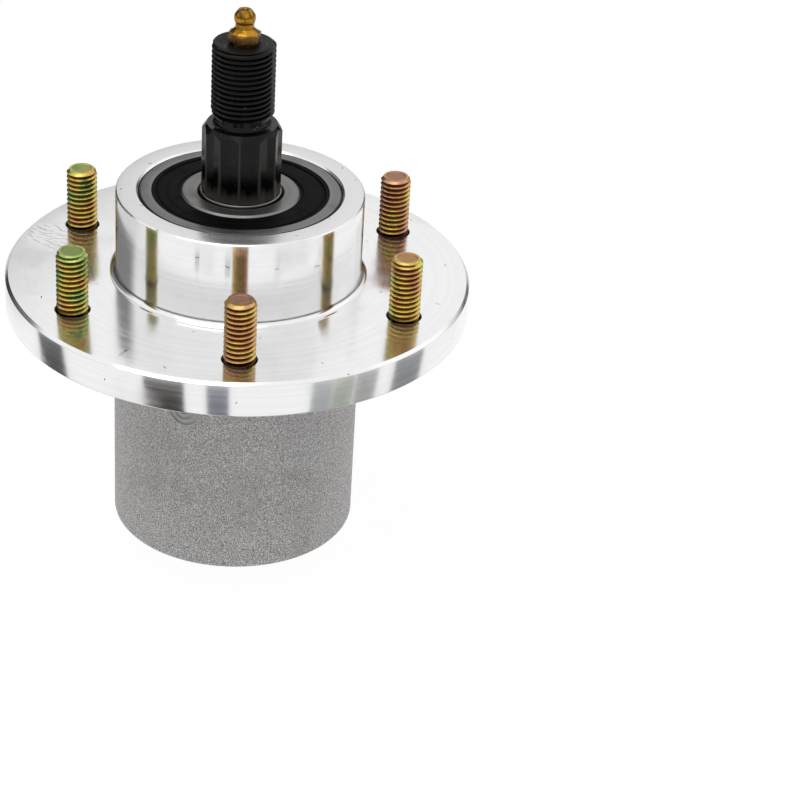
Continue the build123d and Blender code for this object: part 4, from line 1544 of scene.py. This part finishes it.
class SPINDLE_OT_check_spring(bpy.types.Operator):
    """Wind the check spring at its CAD length; the real spring shortens as the check ball opens"""

    bl_idname = "spindle.check_spring"
    bl_label = "Check spring"

    def execute(self, context):
        sizes = context.scene.spindle_fitting
        node_name = "grease_check_spring"
        low = bottom_of(node_name) + sizes.spring_wire
        rise = top_of(node_name) - sizes.spring_wire - low
        turns = rise / sizes.spring_pitch
        bpy.ops.object.select_all(action="DESELECT")
        bpy.ops.mesh.primitive_circle_add(
            vertices=12, radius=sizes.spring_wire, rotation=(math.pi / 2, 0, 0),
            location=(reach_of(node_name) - sizes.spring_wire, 0, low))
        spring = called(bpy.context.active_object, "check_spring")
        apply_place(spring)
        wind(spring, math.tau * turns, rise, steps=math.ceil(32 * turns))
        bpy.ops.object.mode_set(mode="EDIT")
        bpy.ops.mesh.select_all(action="SELECT")
        bpy.ops.mesh.fill_holes(sides=12)
        seal_mesh()
        smooth(spring)
        dress(spring, "rotor", [node_name], "spring_steel", paint("spring_steel"))
        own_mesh(spring)
        return {"FINISHED"}


class SPINDLE_OT_inner_pieces(bpy.types.Operator):
    """Give the CAD pieces inside the spindle their materials"""

    bl_idname = "spindle.inner_pieces"
    bl_label = "Inner pieces"

    def execute(self, context):
        for part in frame["record"]["subparts"]:
            if part["material_slot"] in ("cage_nylon", "ball_steel", "plain_steel"):
                mesh = frame["nodes"][part["node"]].data
                mesh.materials.clear()
                mesh.materials.append(paint(part["material_slot"]))
        return {"FINISHED"}


class SPINDLE_OT_stage(bpy.types.Operator):
    """Set up the floor, the world, the lamps and the camera"""

    bl_idname = "spindle.stage"
    bl_label = "Stage"

    def execute(self, context):
        settings = context.scene.spindle_stage
        context.scene.view_settings.view_transform = "Standard"
        self.floor(settings)
        for turn, (place, angle, width, colour) in enumerate(CARDS):
            self.card(f"card_{turn}", place, math.radians(angle), width, colour)
        self.world(context, settings)
        self.lamp("key_lamp", (-0.25, -0.32, 1.05), 0.9, settings.key_power)
        self.lamp("fill_lamp", (0.95, 0.30, 0.50), 1.0, settings.fill_power)
        self.camera(context, settings)
        return {"FINISHED"}

    def floor(self, settings):
        """A pale floor that the camera sees as near white, with the object's shadow kept."""
        bpy.ops.object.select_all(action="DESELECT")
        bpy.ops.mesh.primitive_plane_add(size=settings.floor_size, location=(0, 0, CAD_BOX[0].z))
        floor = called(bpy.context.active_object, "studio_floor")
        look, matt, end = self.matt(floor, (0.93, 0.93, 0.93))
        look.place = look.own_coordinates()
        glow = look.node("ShaderNodeEmission", Color=(1, 1, 1, 1), Strength=1.03).outputs[0]
        seen, glossy = self.rays(look)
        bright = look.ramp(self.dark_side(look), FLOOR_SHADE_START, FLOOR_SHADE_END, 1.0,
                           settings.floor_shade)
        mirrored = look.times(glossy, bright, settings.floor_mirror)
        cover = look.math("MAXIMUM", look.times(seen, 0.94), mirrored)
        blend = look.node("ShaderNodeMixShader", i0=cover, i1=matt, i2=glow)
        look.feed(end, Surface=blend.outputs[0])

    def matt(self, piece, colour):
        """Gives a piece of the stage a matt material: its tree, its matt shader's output and its end node."""
        material = bpy.data.materials.new(piece.name)
        material.use_nodes = True
        piece.data.materials.append(material)
        look = Look(material.node_tree)
        look.tree.nodes.remove(look.tree.nodes["Principled BSDF"])
        matt = look.node("ShaderNodeBsdfDiffuse", Color=rgba(colour)).outputs[0]
        end = look.tree.nodes["Material Output"]
        look.feed(end, Surface=matt)
        return look, matt, end

    def rays(self, look):
        """Two masks: what the camera sees, also through glass, and what reflections see."""
        path = look.node("ShaderNodeLightPath").outputs
        return look.math("MAXIMUM", path["Is Camera Ray"], path["Is Transmission Ray"]), path["Is Glossy Ray"]

    def dark_side(self, look):
        """How far a place or direction lies towards the studio's dark side, at the back left."""
        return look.node("ShaderNodeVectorMath", {"operation": "DOT_PRODUCT"}, i0=look.place,
                         i1=DARK_SIDE).outputs["Value"]

    def card(self, name, place, angle, width, colour):
        """A matt wedge on the floor that only reflections show, its point under the object."""
        apart = CARD_LENGTH * 2 / 3 - CARD_POINT
        centre = (place[0] * MM + apart * math.sin(angle), place[1] * MM - apart * math.cos(angle),
                  CAD_BOX[0].z + 0.5 * MM)
        bpy.ops.object.select_all(action="DESELECT")
        bpy.ops.mesh.primitive_circle_add(vertices=3, radius=1.0, fill_type="NGON", location=centre,
                                          rotation=(0, 0, angle))
        card = called(bpy.context.active_object, name)
        card.scale = (width * MM * CARD_LENGTH / CARD_POINT / math.sqrt(3), CARD_LENGTH / 1.5, 1)
        bpy.ops.object.transform_apply(location=True, rotation=True, scale=True)
        self.matt(card, colour)
        card.visible_camera = False
        card.visible_diffuse = False
        card.visible_shadow = False
        card.visible_transmission = False

    def world(self, context, settings):
        """White all round for the camera and in reflections, and softer as light on matt surfaces."""
        world = bpy.data.worlds.new("studio_white")
        context.scene.world = world
        world.use_nodes = True
        look = Look(world.node_tree)
        look.place = look.node("ShaderNodeTexCoord").outputs["Generated"]
        seen, glossy = self.rays(look)
        side = look.ramp(self.dark_side(look), 0.73, 0.85, 1.0, settings.left_shade)
        above = look.ramp(look.parts()[2], 0.08, 0.42, settings.horizon_shade, 1.0)
        sky = look.times(side, above, glossy)
        plain = look.ramp(look.math("MAXIMUM", seen, glossy), 0.0, 1.0, settings.world_strength, 0.0)
        look.feed(world.node_tree.nodes["Background"], Color=(1, 1, 1, 1),
                  Strength=look.math("ADD", plain, look.math("MAXIMUM", seen, sky)))

    def lamp(self, name, place, size, power):
        """A square soft lamp that shines on the object's middle."""
        bpy.ops.object.light_add(type="AREA", location=place)
        lamp = bpy.context.active_object
        lamp.name = name
        lamp.data.size = size
        lamp.data.energy = power
        aim = Vector((0, 0, 0)) - Vector(place)
        lamp.rotation_mode = "QUATERNION"
        lamp.rotation_quaternion = aim.to_track_quat("-Z", "Y")

    def camera(self, context, settings):
        """The camera at the photograph's place and angle."""
        bpy.ops.object.camera_add(location=settings.camera_place)
        camera = bpy.context.active_object
        camera.name = "photo_camera"
        camera.data.lens = settings.lens
        camera.data.sensor_width = 36.0
        camera.data.clip_start = 0.02
        camera.data.clip_end = 20.0
        level = Vector((math.sin(settings.pan), math.cos(settings.pan), 0)) * math.cos(settings.tilt)
        forward = level - Vector((0, 0, math.sin(settings.tilt)))
        look = forward.to_track_quat("-Z", "Y")
        camera.rotation_mode = "QUATERNION"
        camera.rotation_quaternion = look @ Quaternion((0, 0, 1), settings.roll)
        context.scene.camera = camera


OPERATORS = (
    SPINDLE_OT_finishes,
    SPINDLE_OT_housing,
    SPINDLE_OT_studs,
    SPINDLE_OT_shaft,
    SPINDLE_OT_bearings,
    SPINDLE_OT_fitting,
    SPINDLE_OT_check_spring,
    SPINDLE_OT_inner_pieces,
    SPINDLE_OT_stage,
)


class SPINDLE_PT_panel(bpy.types.Panel):
    """The spindle's sizes and build steps"""

    bl_label = "Deck Spindle"
    bl_idname = "SPINDLE_PT_panel"
    bl_space_type = "VIEW_3D"
    bl_region_type = "UI"
    bl_category = "Spindle"

    def draw(self, context):
        for attribute, group in GROUPS.items():
            box = self.layout.box()
            box.label(text=group.__doc__)
            settings = getattr(context.scene, attribute)
            for name in group.__annotations__:
                box.prop(settings, name)
        for operator in OPERATORS:
            self.layout.operator(operator.bl_idname)


def register():
    """Registers the settings, the operators and the panel."""
    for attribute, group in GROUPS.items():
        bpy.utils.register_class(group)
        setattr(bpy.types.Scene, attribute, bpy.props.PointerProperty(type=group))
    for operator in OPERATORS:
        bpy.utils.register_class(operator)
    bpy.utils.register_class(SPINDLE_PT_panel)


def unregister():
    """Removes what register added."""
    bpy.utils.unregister_class(SPINDLE_PT_panel)
    for operator in reversed(OPERATORS):
        bpy.utils.unregister_class(operator)
    for attribute, group in GROUPS.items():
        delattr(bpy.types.Scene, attribute)
        bpy.utils.unregister_class(group)


def main():
    register()
    bpy.ops.spindle.finishes()
    bpy.ops.spindle.housing()
    bpy.ops.spindle.studs()
    bpy.ops.spindle.shaft()
    bpy.ops.spindle.bearings()
    bpy.ops.spindle.fitting()
    bpy.ops.spindle.check_spring()
    bpy.ops.spindle.inner_pieces()
    bpy.ops.spindle.stage()


if __name__ == "__main__":
    main()
